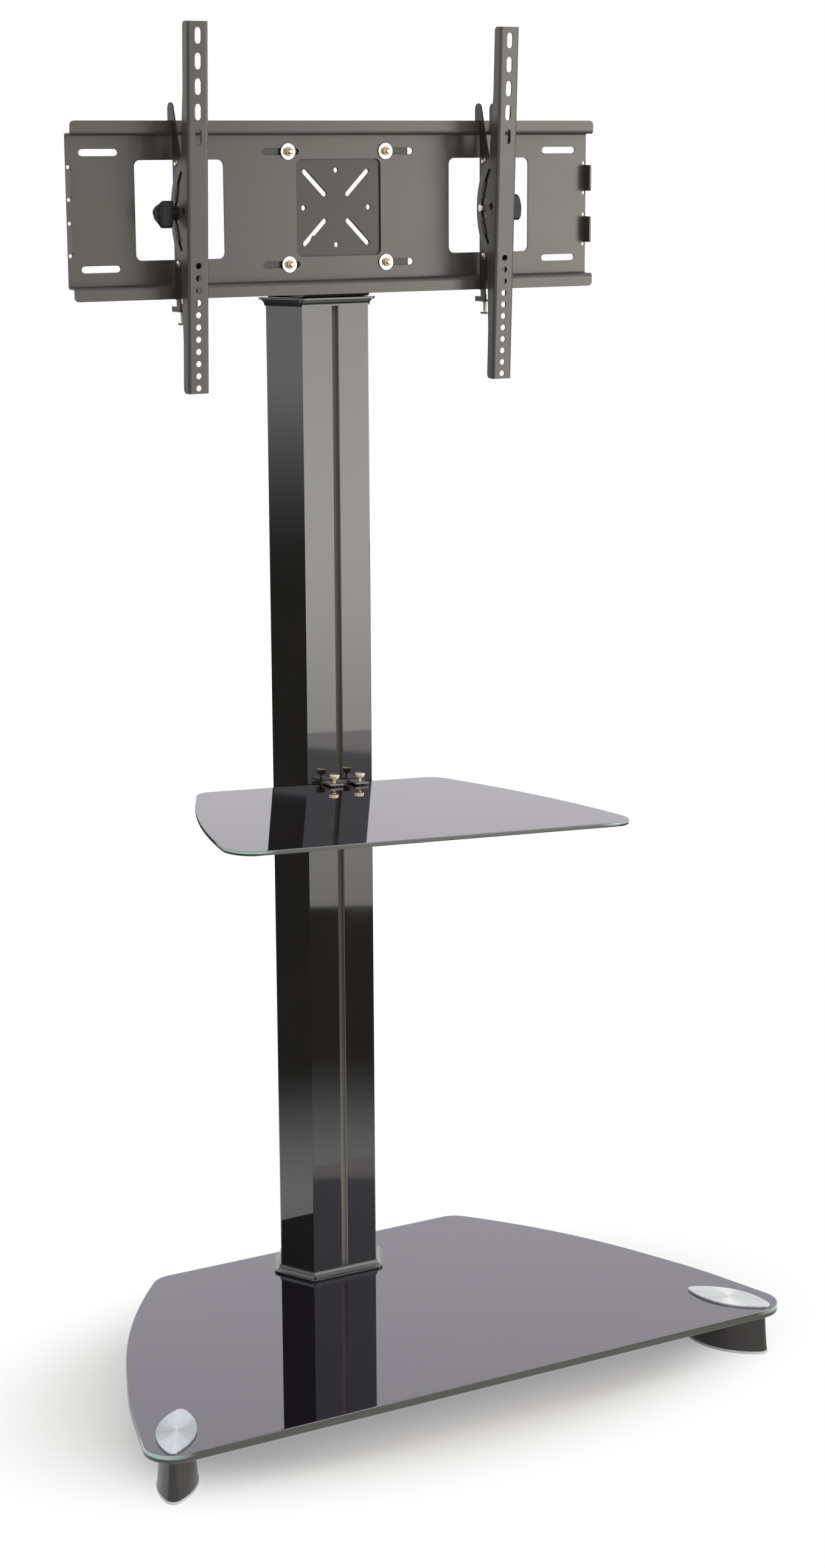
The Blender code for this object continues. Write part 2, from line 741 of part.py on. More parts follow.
def make_shelf():
    """The shelf's pieces hang in one frame, turned about the slide bolt as in the photograph."""
    frame = frame_at("shelf_frame", (0, 0, SHELF_HEIGHT), (0, math.radians(SHELF_ROLL_DEG), 0))
    make_shelf_glass(frame)
    make_shelf_bracket(frame)
    make_slide_clamp(frame)
    for side, label in ((-1, "left"), (1, "right")):
        x = side * CLAMP_PITCH / 2
        pad_y = -(CLAMP_SHEET + 2 * GAP + CLAMP_REACH) / 2
        bm = bmesh.new()
        plan = rectangle(CLAMP_PAD_WIDTH, CLAMP_PAD_LENGTH, (0, pad_y), CLAMP_CORNER)
        low = -SHELF_THICKNESS - GAP - CLAMP_PAD
        add_prism(bm, plan, "Z", low, low + CLAMP_PAD)
        piece(f"shelf_pad_{label}", bm, "rubber", frame, (x, 0, 0))
        make_thumb_screw(frame, f"shelf_screw_{label}", x)


def make_shelf_glass(frame):
    back_y = -(CLAMP_SHEET + 2 * GAP)
    plan = bowed_plan(
        SHELF_FRONT_HALF, SHELF_BACK_HALF, back_y - SHELF_DEPTH, back_y, SHELF_BEND_SHARES, SHELF_CORNER
    )
    bm = bmesh.new()
    add_slab(bm, plan, -SHELF_THICKNESS, 0, SHELF_ARRIS)
    piece("shelf_glass", bm, "shelf_glass", frame, (SHELF_OFFSET, 0, 0))


def make_shelf_bracket(frame):
    """Two upper and two lower jaws on one bent sheet, with a tongue for the slide bolt."""
    high = CLAMP_AIR + CLAMP_SHEET
    low = -SHELF_THICKNESS - 2 * GAP - CLAMP_PAD - CLAMP_SHEET
    path = [(-CLAMP_LOWER_REACH, low), (-GAP, low), (-GAP, high), (-CLAMP_REACH, high)]
    half = (CLAMP_PITCH + CLAMP_WIDTH) / 2
    bm = bmesh.new()
    add_prism(bm, bent_strip(path, CLAMP_SHEET, CLAMP_BEND), "X", -half, half)
    bracket = piece("shelf_bracket", bm, "bracket_black", frame)

    bm = bmesh.new()
    tongue = rectangle(2 * TONGUE_HALF, TONGUE_DROP, (0, low + CLAMP_SHEET - TONGUE_DROP / 2), TONGUE_CORNER)
    add_prism(bm, tongue, "Y", -GAP - CLAMP_SHEET, -GAP)
    shape(bracket, bm, "UNION")

    notch = CLAMP_PITCH - CLAMP_WIDTH
    reach = CLAMP_LOWER_REACH + 2 * CLAMP_CORNER
    middle = -(CLAMP_SHEET + GAP) - reach / 2
    notch_plan = rectangle(notch, reach, (0, middle), CLAMP_CORNER)
    cut(bracket, "Z", [notch_plan], low - CUT_PAST, high + CUT_PAST)
    holes = [circle(THUMB_RADIUS + GAP, p) for p in mirrored([(CLAMP_PITCH / 2, THUMB_SCREW_Y)])]
    cut(bracket, "Z", holes, 0.0, high + CUT_PAST)
    bolt_hole = circle(SCREW_RADIUS + GAP, (0, -SLIDE_BOLT_DROP))
    cut(bracket, "Y", [bolt_hole], -CLAMP_SHEET - CUT_PAST, CUT_PAST)


def make_slide_clamp(frame):
    """The bolt and the T-nut that hold the shelf bracket at its height in the column's groove."""
    head_y = -GAP - CLAMP_SHEET - GAP
    nut_low = GROOVE_LIP + GAP
    end = nut_low + SLIDE_NUT_HEIGHT + SLIDE_BOLT_PROUD
    radius, wide = SCREW_RADIUS, SLIDE_BOLT_HEAD_RADIUS
    rings = [(wide * 0.9, head_y - SLIDE_BOLT_HEAD), (wide, head_y - SLIDE_BOLT_HEAD * 0.6), (wide, head_y)]
    rings += [(radius, head_y), (radius, end - EASE), (radius - EASE, end)]
    bm = bmesh.new()
    add_loft(bm, [(circle(r, (0, -SLIDE_BOLT_DROP)), y) for r, y in rings], "Y")
    piece("shelf_slide_bolt", bm, "zinc", frame)

    drop = math.radians(SHELF_ROLL_DEG)
    foot = (-SLIDE_BOLT_DROP * math.sin(drop), 0, SHELF_HEIGHT - SLIDE_BOLT_DROP * math.cos(drop))
    bm = bmesh.new()
    side = min(SLIDE_NUT_SIDE, GROOVE_WIDTH + 2 * foot[0] - 2 * GAP)
    add_prism(bm, rectangle(side, SLIDE_NUT_SIDE, corner=EASE), "Y", nut_low, nut_low + SLIDE_NUT_HEIGHT)
    nut = piece("shelf_slide_nut", bm, "zinc", location=foot)
    cut(nut, "Y", [circle(SCREW_RADIUS + GAP)], 0, end + CUT_PAST)


def make_thumb_screw(frame, name, x):
    """A brass-coloured screw with a knurled head. Its tip stands on the glass."""
    head_low = CLAMP_AIR + CLAMP_SHEET + THUMB_REACH
    head_high = head_low + THUMB_HEAD
    count = 2 * THUMB_RIDGE_COUNT
    low_share = 1 - THUMB_RIDGE_DEPTH / THUMB_HEAD_RADIUS
    ridged = [p * (1.0 if k % 2 else low_share) for k, p in enumerate(circle(THUMB_HEAD_RADIUS, count=count))]
    shank, face = (circle(r, count=count) for r in (THUMB_RADIUS, THUMB_HEAD_RADIUS - EASE))
    layers = [(grown(shank, -EASE), GAP), (shank, GAP + EASE), (shank, head_low), (face, head_low)]
    layers += [(ridged, head_low + EASE), (ridged, head_high - EASE), (face, head_high)]
    bm = bmesh.new()
    add_loft(bm, layers, "Z")
    piece(name, bm, "brass", frame, (x, THUMB_SCREW_Y, 0))


# Head bracket and wall plate


def pattern(size):
    """The four corners of a square pattern."""
    return mirrored([(size / 2, -size / 2), (size / 2, size / 2)])


def head_outline():
    """The head bracket seen from the front: a wide plate on a neck as wide as its foot."""
    wide, neck = HEAD_WIDTH / 2, HEAD_NECK_HALF
    top, waist, low = HEAD_TALL / 2, -HEAD_TALL / 2, -COLUMN_TOP_DROP - CUT_PAST
    right = [(neck, low), (neck, waist), (wide, waist), (wide, top)]
    points = right + [(-x, z) for x, z in reversed(right)]
    radii = [0, HEAD_CORNER / 2, HEAD_CORNER, HEAD_CORNER]
    return rounded(points, radii + radii[::-1], 4)


def make_head_bracket():
    """An upright plate bent back over the column's top, with two gussets."""
    frame = frame_at("head_frame", (0, 0, PLATE_HEIGHT))
    low = GAP - COLUMN_TOP_DROP
    foot_end = COLUMN_DEPTH - HEAD_FOOT_BACK
    path = [(HEAD_FACE_Y, HEAD_TALL / 2), (HEAD_FACE_Y, low), (foot_end, low)]
    blank_half = HEAD_WIDTH / 2 + CUT_PAST
    bm = bmesh.new()
    add_prism(bm, bent_strip(path, HEAD_SHEET, HEAD_BEND), "X", -blank_half, blank_half)
    bracket = piece("head_bracket", bm, "bracket_black", frame)
    bm = bmesh.new()
    add_prism(bm, head_outline(), "Y", HEAD_FACE_Y - CUT_PAST, COLUMN_DEPTH)
    shape(bracket, bm, "INTERSECT")

    foot_top = low + HEAD_SHEET
    y, z = HEAD_BACK_Y - SINK, foot_top - SINK
    gusset = [(y, z), (y + GUSSET_REACH, z), (y + GUSSET_REACH, z + GUSSET_END)]
    gusset += [(y + GUSSET_END, z + GUSSET_REACH), (y, z + GUSSET_REACH)]
    for side in (-1, 1):
        x = side * GUSSET_X
        bm = bmesh.new()
        add_prism(bm, [Vector(p) for p in gusset], "X", x - HEAD_SHEET / 2, x + HEAD_SHEET / 2)
        shape(bracket, bm, "UNION")

    half = HEAD_CROSS / 2
    holes = [circle(HEAD_HOLE_RADIUS, p) for p in ((half, 0), (-half, 0), (0, half), (0, -half))]
    holes += [circle(PLATE_BOLT_RADIUS + GAP, p) for p in pattern(BOLT_PATTERN)]
    middle = (CROSS_SLOT_IN + CROSS_SLOT_OUT) / 2
    length = (CROSS_SLOT_OUT - CROSS_SLOT_IN) * math.sqrt(2) + 2 * HEAD_HOLE_RADIUS
    for x, z in pattern(2 * middle):
        turn = 45 if x * z > 0 else -45
        holes.append(long_slot(length, 2 * HEAD_HOLE_RADIUS, (x, z), turn))
    cut(bracket, "Y", holes, HEAD_FACE_Y - CUT_PAST, HEAD_BACK_Y + CUT_PAST)
    ports = [circle(SCREW_RADIUS + GAP, p) for p in port_places()]
    cut(bracket, "Z", ports, low - CUT_PAST, foot_top + CUT_PAST)

    for number, (x, y) in enumerate(port_places(), 1):
        screw = make_screw(HEAD_SCREW_HEAD_RADIUS, HEAD_SCREW_HEAD, HEAD_SHEET + SCREW_REACH)
        made = piece(f"head_screw_{number}", screw, "zinc", frame, (x, y, foot_top + GAP))
        made.rotation_euler.x = math.pi


def wall_plate_profile():
    """The pressed plate's section: web, two steps forward and two lips."""
    web = PLATE_WEB / 2 - PLATE_SHEET
    out = -PLATE_STANDOFF
    path = [(out, LIP_TOP), (out, web), (0, web), (0, -web), (out, -web), (out, -LIP_TOP)]
    return bent_strip(path, PLATE_SHEET, PLATE_BEND)


def make_wall_plate(frame):
    half = PLATE_LENGTH / 2
    bm = bmesh.new()
    add_prism(bm, wall_plate_profile(), "X", -half - CUT_PAST, half + CUT_PAST)
    plate = piece("wall_plate", bm, "bracket_black", frame)
    bm = bmesh.new()
    blank = rectangle(PLATE_LENGTH, 2 * LIP_TOP, corner=PLATE_CORNER)
    add_prism(bm, blank, "Y", -PLATE_STANDOFF - CUT_PAST, PLATE_SHEET + CUT_PAST)
    shape(plate, bm, "INTERSECT")

    middle = (TAB_LOW + TAB_HIGH) / 2
    reach = TAB_REACH + PLATE_SHEET
    bm = bmesh.new()
    for x, z in mirrored([(half - PLATE_SHEET / 2, middle), (half - PLATE_SHEET / 2, -middle)]):
        tab = rectangle(reach, TAB_HIGH - TAB_LOW, (PLATE_SHEET - reach / 2, z), TAB_CORNER)
        add_prism(bm, tab, "X", x - PLATE_SHEET / 2, x + PLATE_SHEET / 2)
    shape(plate, bm, "UNION")

    slot_z = BOLT_PATTERN / 2
    openings = [rectangle(WINDOW_SIZE, WINDOW_SIZE, (x, 0), WINDOW_CORNER) for x in (-WINDOW_X, 0, WINDOW_X)]
    for slot_x in (BOLT_SLOT_X, WALL_SLOT_X):
        for centre in mirrored([(slot_x, slot_z), (slot_x, -slot_z)]):
            openings.append(long_slot(SLOT_LENGTH, SLOT_WIDTH, centre))
    relief_x = half - TAB_RELIEF - TAB_RELIEF_IN
    for z in (TAB_LOW - TAB_RELIEF, TAB_HIGH + TAB_RELIEF):
        openings += [circle(TAB_RELIEF, p, 8) for p in mirrored([(relief_x, z), (relief_x, -z)])]
    cut(plate, "Y", openings, -CUT_PAST, PLATE_SHEET + CUT_PAST)


def make_plate_fasteners():
    """Bolts from behind the head bracket, with a washer and a nut on the wall plate's front."""
    washer_back = PLATE_FACE_Y - GAP
    nut_back = washer_back - WASHER_HEIGHT - GAP
    nut_front = nut_back - NUT_HEIGHT
    head_front = HEAD_BACK_Y + GAP
    bore = circle(PLATE_BOLT_RADIUS + GAP)
    wide_bore = circle(PLATE_BOLT_RADIUS + GAP, count=16)
    for number, (x, z) in enumerate(pattern(BOLT_PATTERN), 1):
        location = (x, 0, PLATE_HEIGHT + z)
        bm = bmesh.new()
        flats = hexagon(PLATE_BOLT_HEAD_FLATS)
        shank = circle(PLATE_BOLT_RADIUS)
        layers = [(flats, head_front + PLATE_BOLT_HEAD), (flats, head_front), (shank, head_front)]
        layers += [(shank, nut_front - BOLT_TIP * 0.4)]
        layers += [(circle(PLATE_BOLT_RADIUS * 0.75), nut_front - BOLT_TIP * 0.8)]
        layers += [(circle(PLATE_BOLT_RADIUS * 0.4), nut_front - BOLT_TIP)]
        add_loft(bm, layers, "Y")
        piece(f"plate_bolt_{number}", bm, "zinc", location=location)

        bm = bmesh.new()
        rim = circle(WASHER_RADIUS, count=16)
        edge = circle(WASHER_RADIUS - WASHER_EDGE, count=16)
        front = washer_back - WASHER_HEIGHT
        layers = [(wide_bore, washer_back), (rim, washer_back), (rim, front + WASHER_EDGE), (edge, front)]
        layers += [(wide_bore, front)]
        add_loft(bm, layers, "Y", wrap=True)
        piece(f"plate_washer_{number}", bm, "zinc", location=location)

        bm = bmesh.new()
        flats = hexagon(NUT_FLATS)
        crown = circle(NUT_FLATS / 2)
        layers = [(bore, nut_back), (flats, nut_back), (flats, nut_front + NUT_CHAMFER)]
        layers += [(crown, nut_front), (bore, nut_front)]
        add_loft(bm, layers, "Y", wrap=True)
        piece(f"plate_nut_{number}", bm, "zinc", location=location)


# Hook brackets and arms


def hook_outline():
    """One hook plate from the side, as (y, z) from the middle of the wall plate's face."""
    slot_front, slot_back = HOOK_BACK_Y, -PLATE_STANDOFF + PLATE_SHEET + GAP
    seat = LIP_TOP + GAP
    tip_z = LIP_TOP + HOOK_RISE - HOOK_TIP_RADIUS
    tip_y = slot_back + HOOK_GRIP - HOOK_TIP_RADIUS + HOOK_TIP_BACK
    foot_low = HOOK_FOOT_TOP - HOOK_FOOT_HEIGHT
    points = arc((tip_y, tip_z), HOOK_TIP_RADIUS, 0, 180, 6)
    belly = [
        (tip_y - HOOK_TIP_RADIUS - HOOK_SHOULDER, LIP_TOP),
        (HOOK_BREAST_Y, LIP_TOP - HOOK_BREAST_DROP),
        (HOOK_BELLY_Y, HOOK_BELLY_TOP),
        (HOOK_BELLY_Y, HOOK_BELLY_BOTTOM),
        (HOOK_LEG_Y, HOOK_LEG_TOP),
        (HOOK_LEG_Y, foot_low),
    ]
    outer = [points[-1], *belly, (HOOK_FOOT_END, foot_low)]
    for before, corner, after in zip(outer, outer[1:], outer[2:]):
        points += fillet(before, corner, after, HOOK_ROUND, 2)
    points += [Vector(p) for p in ((HOOK_FOOT_END, foot_low), (HOOK_FOOT_END, HOOK_FOOT_TOP))]
    under_lip = -LIP_TOP - HOOK_LIP_ROOM
    leg_back = slot_front - HOOK_LEG_BACK
    points += [Vector(p) for p in ((leg_back, HOOK_FOOT_TOP), (leg_back, under_lip), (slot_front, under_lip))]
    points += [Vector(p) for p in ((slot_front, seat), (slot_back, seat))]
    points += [Vector(p) for p in ((slot_back, LIP_TOP - HOOK_GRIP), (points[0].x, LIP_TOP - HOOK_GRIP))]
    return points


def guide_lug(low_deg, high_deg):
    """A raised guide that runs in an arm's curved slot, as (y, z) from the wall plate's face."""
    outline = arc_slot(GUIDE_RADIUS, GUIDE_WIDTH - 2 * LUG_PLAY, low_deg, high_deg, 4)
    return [Vector((p.x - AXIS_AHEAD, p.y - AXIS_DROP)) for p in outline]


def make_hook(frame, label):
    """A folded bracket: two hook plates, a foot between them and four guide lugs."""
    bm = bmesh.new()
    add_prism(bm, hook_outline(), "X", -HOOK_HALF, HOOK_HALF)
    hook = piece(f"hook_bracket_{label}", bm, "bracket_black", frame)
    inner = HOOK_HALF - HOOK_SHEET
    floor = HOOK_FOOT_TOP - HOOK_FOOT_HEIGHT + HOOK_SHEET
    room = rectangle(2 * inner, HOOK_ROOM, (0, HOOK_BELLY_Y / 2))
    cut(hook, "Z", [room], floor, LIP_TOP + HOOK_RISE + CUT_PAST)

    lug_out = ARM_WIDTH / 2 + LUG_PROUD
    low, high = LUG_DEG
    bm = bmesh.new()
    for outline in (guide_lug(low, high), guide_lug(-high, -low)):
        add_prism(bm, outline, "X", HOOK_HALF - SINK, lug_out)
        add_prism(bm, outline, "X", -lug_out, -HOOK_HALF + SINK)
    shape(hook, bm, "UNION")

    bolt_hole = circle(TILT_BOLT_RADIUS + GAP, (GUIDE_RADIUS - AXIS_AHEAD, -AXIS_DROP))
    rivets = [circle(RIVET_RADIUS + GAP, (RIVET_Y, z)) for z in (RIVET_TOP_Z, RIVET_BOTTOM_Z)]
    cut(hook, "X", [bolt_hole, *rivets], -ARM_WIDTH, ARM_WIDTH)
    screw_hole = circle(SAFETY_RADIUS + GAP, (0, SAFETY_Y))
    cut(hook, "Z", [screw_hole], floor - HOOK_SHEET - CUT_PAST, floor + CUT_PAST)


def make_rivet(frame, name, z):
    """A riveted spacer that ties the two hook plates together."""
    bore, head = RIVET_RADIUS, RIVET_HEAD_RADIUS
    seat = HOOK_HALF + GAP
    out = seat + RIVET_HEAD
    rings = [(head * 0.55, -out), (head * 0.9, -out + EASE), (head, -seat), (bore, -seat)]
    rings += [(bore, seat), (head, seat), (head * 0.9, out - EASE), (head * 0.55, out)]
    bm = bmesh.new()
    add_loft(bm, [(circle(r, (RIVET_Y, z)), x) for r, x in rings], "X")
    piece(name, bm, "brass", frame)


def make_tilt_bolt(frame, label, side):
    """The bolt across hook and arm. Its thread ends inside the knob, on the arm's outer side."""
    centre = (GUIDE_RADIUS - AXIS_AHEAD, -AXIS_DROP)
    seat = ARM_WIDTH / 2 + GAP
    end = seat + KNOB_THREAD - KNOB_THREAD_ROOM
    flats = hexagon(TILT_BOLT_HEAD_FLATS, centre)
    shank = circle(TILT_BOLT_RADIUS, centre)
    tip = circle(TILT_BOLT_RADIUS - EASE, centre)
    layers = [(flats, -seat - TILT_BOLT_HEAD), (flats, -seat), (shank, -seat)]
    layers += [(shank, end - EASE), (tip, end)]
    bm = bmesh.new()
    add_loft(bm, [(outline, side * x) for outline, x in layers], "X")
    piece(f"tilt_bolt_{label}", bm, "zinc", frame)


def lobed(radius, lobe, count=30):
    """A three-lobed outline. One lobe points to the front."""
    points = []
    for k in range(count):
        angle = 2 * math.pi * k / count
        reach = radius - lobe * math.cos(3 * angle)
        points.append(Vector((reach * math.cos(angle), reach * math.sin(angle))))
    return points


def make_knob(frame, label, side):
    """A three-lobed clamping knob on a round boss. Its origin is on the bolt's axis."""
    boss = circle(KNOB_BOSS_RADIUS, count=30)
    body = lobed(KNOB_RADIUS, KNOB_LOBE)
    edge = lobed(KNOB_RADIUS - KNOB_EDGE, KNOB_LOBE)
    crown = circle(KNOB_CROWN_RADIUS, count=30)
    start = KNOB_BOSS
    end = start + KNOB_LENGTH
    layers = [(boss, 0), (boss, start), (edge, start), (body, start + KNOB_EDGE), (body, end - KNOB_EDGE)]
    layers += [(edge, end), (crown, end), (grown(crown, -KNOB_CROWN), end + KNOB_CROWN)]
    bm = bmesh.new()
    add_loft(bm, [(outline, side * x) for outline, x in layers], "X")
    seat = ARM_WIDTH / 2 + GAP
    location = (side * seat, GUIDE_RADIUS - AXIS_AHEAD, -AXIS_DROP)
    knob = piece(f"tilt_knob_{label}", bm, "knob_black", frame, location)
    low, high = sorted((-side * CUT_PAST, side * KNOB_THREAD))
    cut(knob, "X", [circle(TILT_BOLT_RADIUS + GAP)], low, high)


def make_safety_screw(frame, label):
    """A screw that goes up through the hook's foot, to block the wall plate's lower lip."""
    length = SAFETY_TIP_Z - SAFETY_HEAD_Z
    head = SAFETY_HEAD_RADIUS
    rings = [(head * 0.5, -SAFETY_HEAD), (head * 0.85, -SAFETY_HEAD * 0.7), (head, 0), (SAFETY_RADIUS, 0)]
    rings += [(SAFETY_RADIUS, length - EASE), (SAFETY_RADIUS - EASE, length)]
    bm = bmesh.new()
    add_loft(bm, [(circle(r, count=16), z) for r, z in rings], "Z")
    piece(f"safety_screw_{label}", bm, "zinc", frame, (0, SAFETY_Y, SAFETY_HEAD_Z))


def arm_outline():
    """The arm from the side, as (y, z) from the tilt axis: slim ends and a round middle."""
    back = ARM_FACE + ARM_FLANGE
    points = [Vector((ARM_FACE - CUT_PAST, ARM_BOTTOM))]
    points += arc((back - ARM_FLANGE_CORNER, ARM_BOTTOM + ARM_FLANGE_CORNER), ARM_FLANGE_CORNER, -90, 0, 4)
    points.append(Vector((back, ARM_TAPER_BOTTOM)))
    points += arc((0, 0), TILT_ARC, -TILT_ARC_DEG, TILT_ARC_DEG, 16)
    points.append(Vector((back, ARM_TAPER_TOP)))
    points += arc((back - ARM_FLANGE_CORNER, ARM_TOP - ARM_FLANGE_CORNER), ARM_FLANGE_CORNER, 0, 90, 4)
    points.append(Vector((ARM_FACE - CUT_PAST, ARM_TOP)))
    return points


def make_arm(frame, label):
    """A channel whose side flanges swell into a curved, slotted tilt guide."""
    half = ARM_WIDTH / 2
    deep = TILT_ARC + CUT_PAST
    path = [(-half, deep), (-half, ARM_FACE), (half, ARM_FACE), (half, deep)]
    bm = bmesh.new()
    add_prism(bm, bent_strip(path, ARM_SHEET, ARM_BEND), "Z", ARM_BOTTOM - CUT_PAST, ARM_TOP + CUT_PAST)
    arm = piece(f"arm_{label}", bm, "bracket_black", frame)
    bm = bmesh.new()
    add_prism(bm, arm_outline(), "X", -half - CUT_PAST, half + CUT_PAST)
    shape(arm, bm, "INTERSECT")

    front = []
    for k in range(ARM_SLOT_COUNT):
        front.append(long_slot(ARM_SLOT_LENGTH, ARM_SLOT_WIDTH, (0, ARM_SLOT_TOP - k * ARM_SLOT_PITCH), 90))
    for k in range(ARM_HOLE_COUNT):
        front.append(circle(ARM_HOLE_RADIUS, (0, ARM_HOLE_LOW + k * ARM_HOLE_PITCH)))
    cut(arm, "Y", front, ARM_FACE - CUT_PAST, ARM_FACE + ARM_SHEET + CUT_PAST)

    guides = [arc_slot(GUIDE_RADIUS, GUIDE_WIDTH, -GUIDE_DEG, GUIDE_DEG, 12)]
    guides += [circle(LOCK_HOLE_RADIUS, (ARM_FACE + LOCK_HOLE_DEPTH, LOCK_HOLE_Z))]
    cut(arm, "X", guides, -half - CUT_PAST, half + CUT_PAST)


def make_television_bracket():
    plate_frame = frame_at("wall_plate_frame", (PLATE_SHIFT, PLATE_FACE_Y, PLATE_HEIGHT))
    make_wall_plate(plate_frame)
    for side, label, x in ((-1, "left", ARM_LEFT_X), (1, "right", ARM_RIGHT_X)):
        hook_frame = frame_at(f"hook_frame_{label}", (x, PLATE_FACE_Y, PLATE_HEIGHT))
        make_hook(hook_frame, label)
        make_rivet(hook_frame, f"spacer_rivet_{label}_top", RIVET_TOP_Z)
        make_rivet(hook_frame, f"spacer_rivet_{label}_bottom", RIVET_BOTTOM_Z)
        make_tilt_bolt(hook_frame, label, side)
        make_knob(hook_frame, label, side)
        make_safety_screw(hook_frame, label)
        axis = (x, PLATE_FACE_Y - AXIS_AHEAD, PLATE_HEIGHT - AXIS_DROP)
        arm_frame = frame_at(f"tilt_axis_{label}", axis, (math.radians(REST_TILT_DEG), 0, 0))
        make_arm(arm_frame, label)


def main():
    clear_scene()
    make_base_glass()
    for side, label in ((-1, "left"), (1, "right")):
        make_front_foot(side, label)
    make_rear_foot()
    make_column()
    make_collar("lower_collar", GLASS_TOP + GAP, 1)
    make_collar("upper_collar", COLUMN_TOP, -1)
    make_shelf()
    make_head_bracket()
    make_plate_fasteners()
    make_television_bracket()


main()
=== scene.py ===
"""Looks of the television floor stand: finishes, fine meshes and a plain studio.

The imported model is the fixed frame, in metres, with +Z up and the front at -Y. Sheet metal, column, rear
foot, shelf pads and most hidden fasteners keep their solids and get a finish. Glass, collars, front feet,
caps, knobs, rivets, bolts, washers, nuts and screws are made anew as fine surfaces in the same places.
"""

from __future__ import annotations

import json
import logging
import math
from dataclasses import dataclass
from enum import Enum
from typing import Any, Callable, Sequence, Union

import bmesh
import bpy
import numpy as np
from mathutils import Matrix, Vector

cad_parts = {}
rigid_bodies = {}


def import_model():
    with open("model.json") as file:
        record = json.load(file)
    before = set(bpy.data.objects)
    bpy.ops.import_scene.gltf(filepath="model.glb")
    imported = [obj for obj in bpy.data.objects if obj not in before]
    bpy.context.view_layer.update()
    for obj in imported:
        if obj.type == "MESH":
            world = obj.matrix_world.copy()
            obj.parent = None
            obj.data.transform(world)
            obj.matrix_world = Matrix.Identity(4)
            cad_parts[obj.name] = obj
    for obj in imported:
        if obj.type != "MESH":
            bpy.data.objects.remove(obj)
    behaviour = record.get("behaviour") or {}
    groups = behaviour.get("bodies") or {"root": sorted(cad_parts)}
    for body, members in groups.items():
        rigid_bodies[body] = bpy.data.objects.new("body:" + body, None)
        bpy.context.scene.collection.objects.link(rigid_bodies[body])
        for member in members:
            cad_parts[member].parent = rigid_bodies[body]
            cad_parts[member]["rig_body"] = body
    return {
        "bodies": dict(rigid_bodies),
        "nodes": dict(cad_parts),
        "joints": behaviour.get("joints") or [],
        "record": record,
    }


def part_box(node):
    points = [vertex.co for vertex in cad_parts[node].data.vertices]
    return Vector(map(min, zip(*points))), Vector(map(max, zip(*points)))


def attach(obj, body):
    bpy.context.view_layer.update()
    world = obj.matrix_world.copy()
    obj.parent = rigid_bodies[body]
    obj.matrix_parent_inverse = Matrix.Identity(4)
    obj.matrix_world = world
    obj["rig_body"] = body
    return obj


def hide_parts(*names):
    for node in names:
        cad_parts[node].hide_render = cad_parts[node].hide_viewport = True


LOG = logging.getLogger("stand")
Array = np.ndarray
Colour = tuple[float, float, float]
Point = tuple[float, float, float]
BASE_SHIFT = 0.003
SHELF_SHIFT = -0.0356
SHELF_LEVEL = 0.8237
THUMB_PITCH = 0.041


class Sign(Enum):
    """The stand's two sides, seen from the front."""

    LEFT = -1
    RIGHT = 1

    @property
    def label(self) -> str:
        """The word that the side's nodes carry."""
        return self.name.lower()


# Surfaces


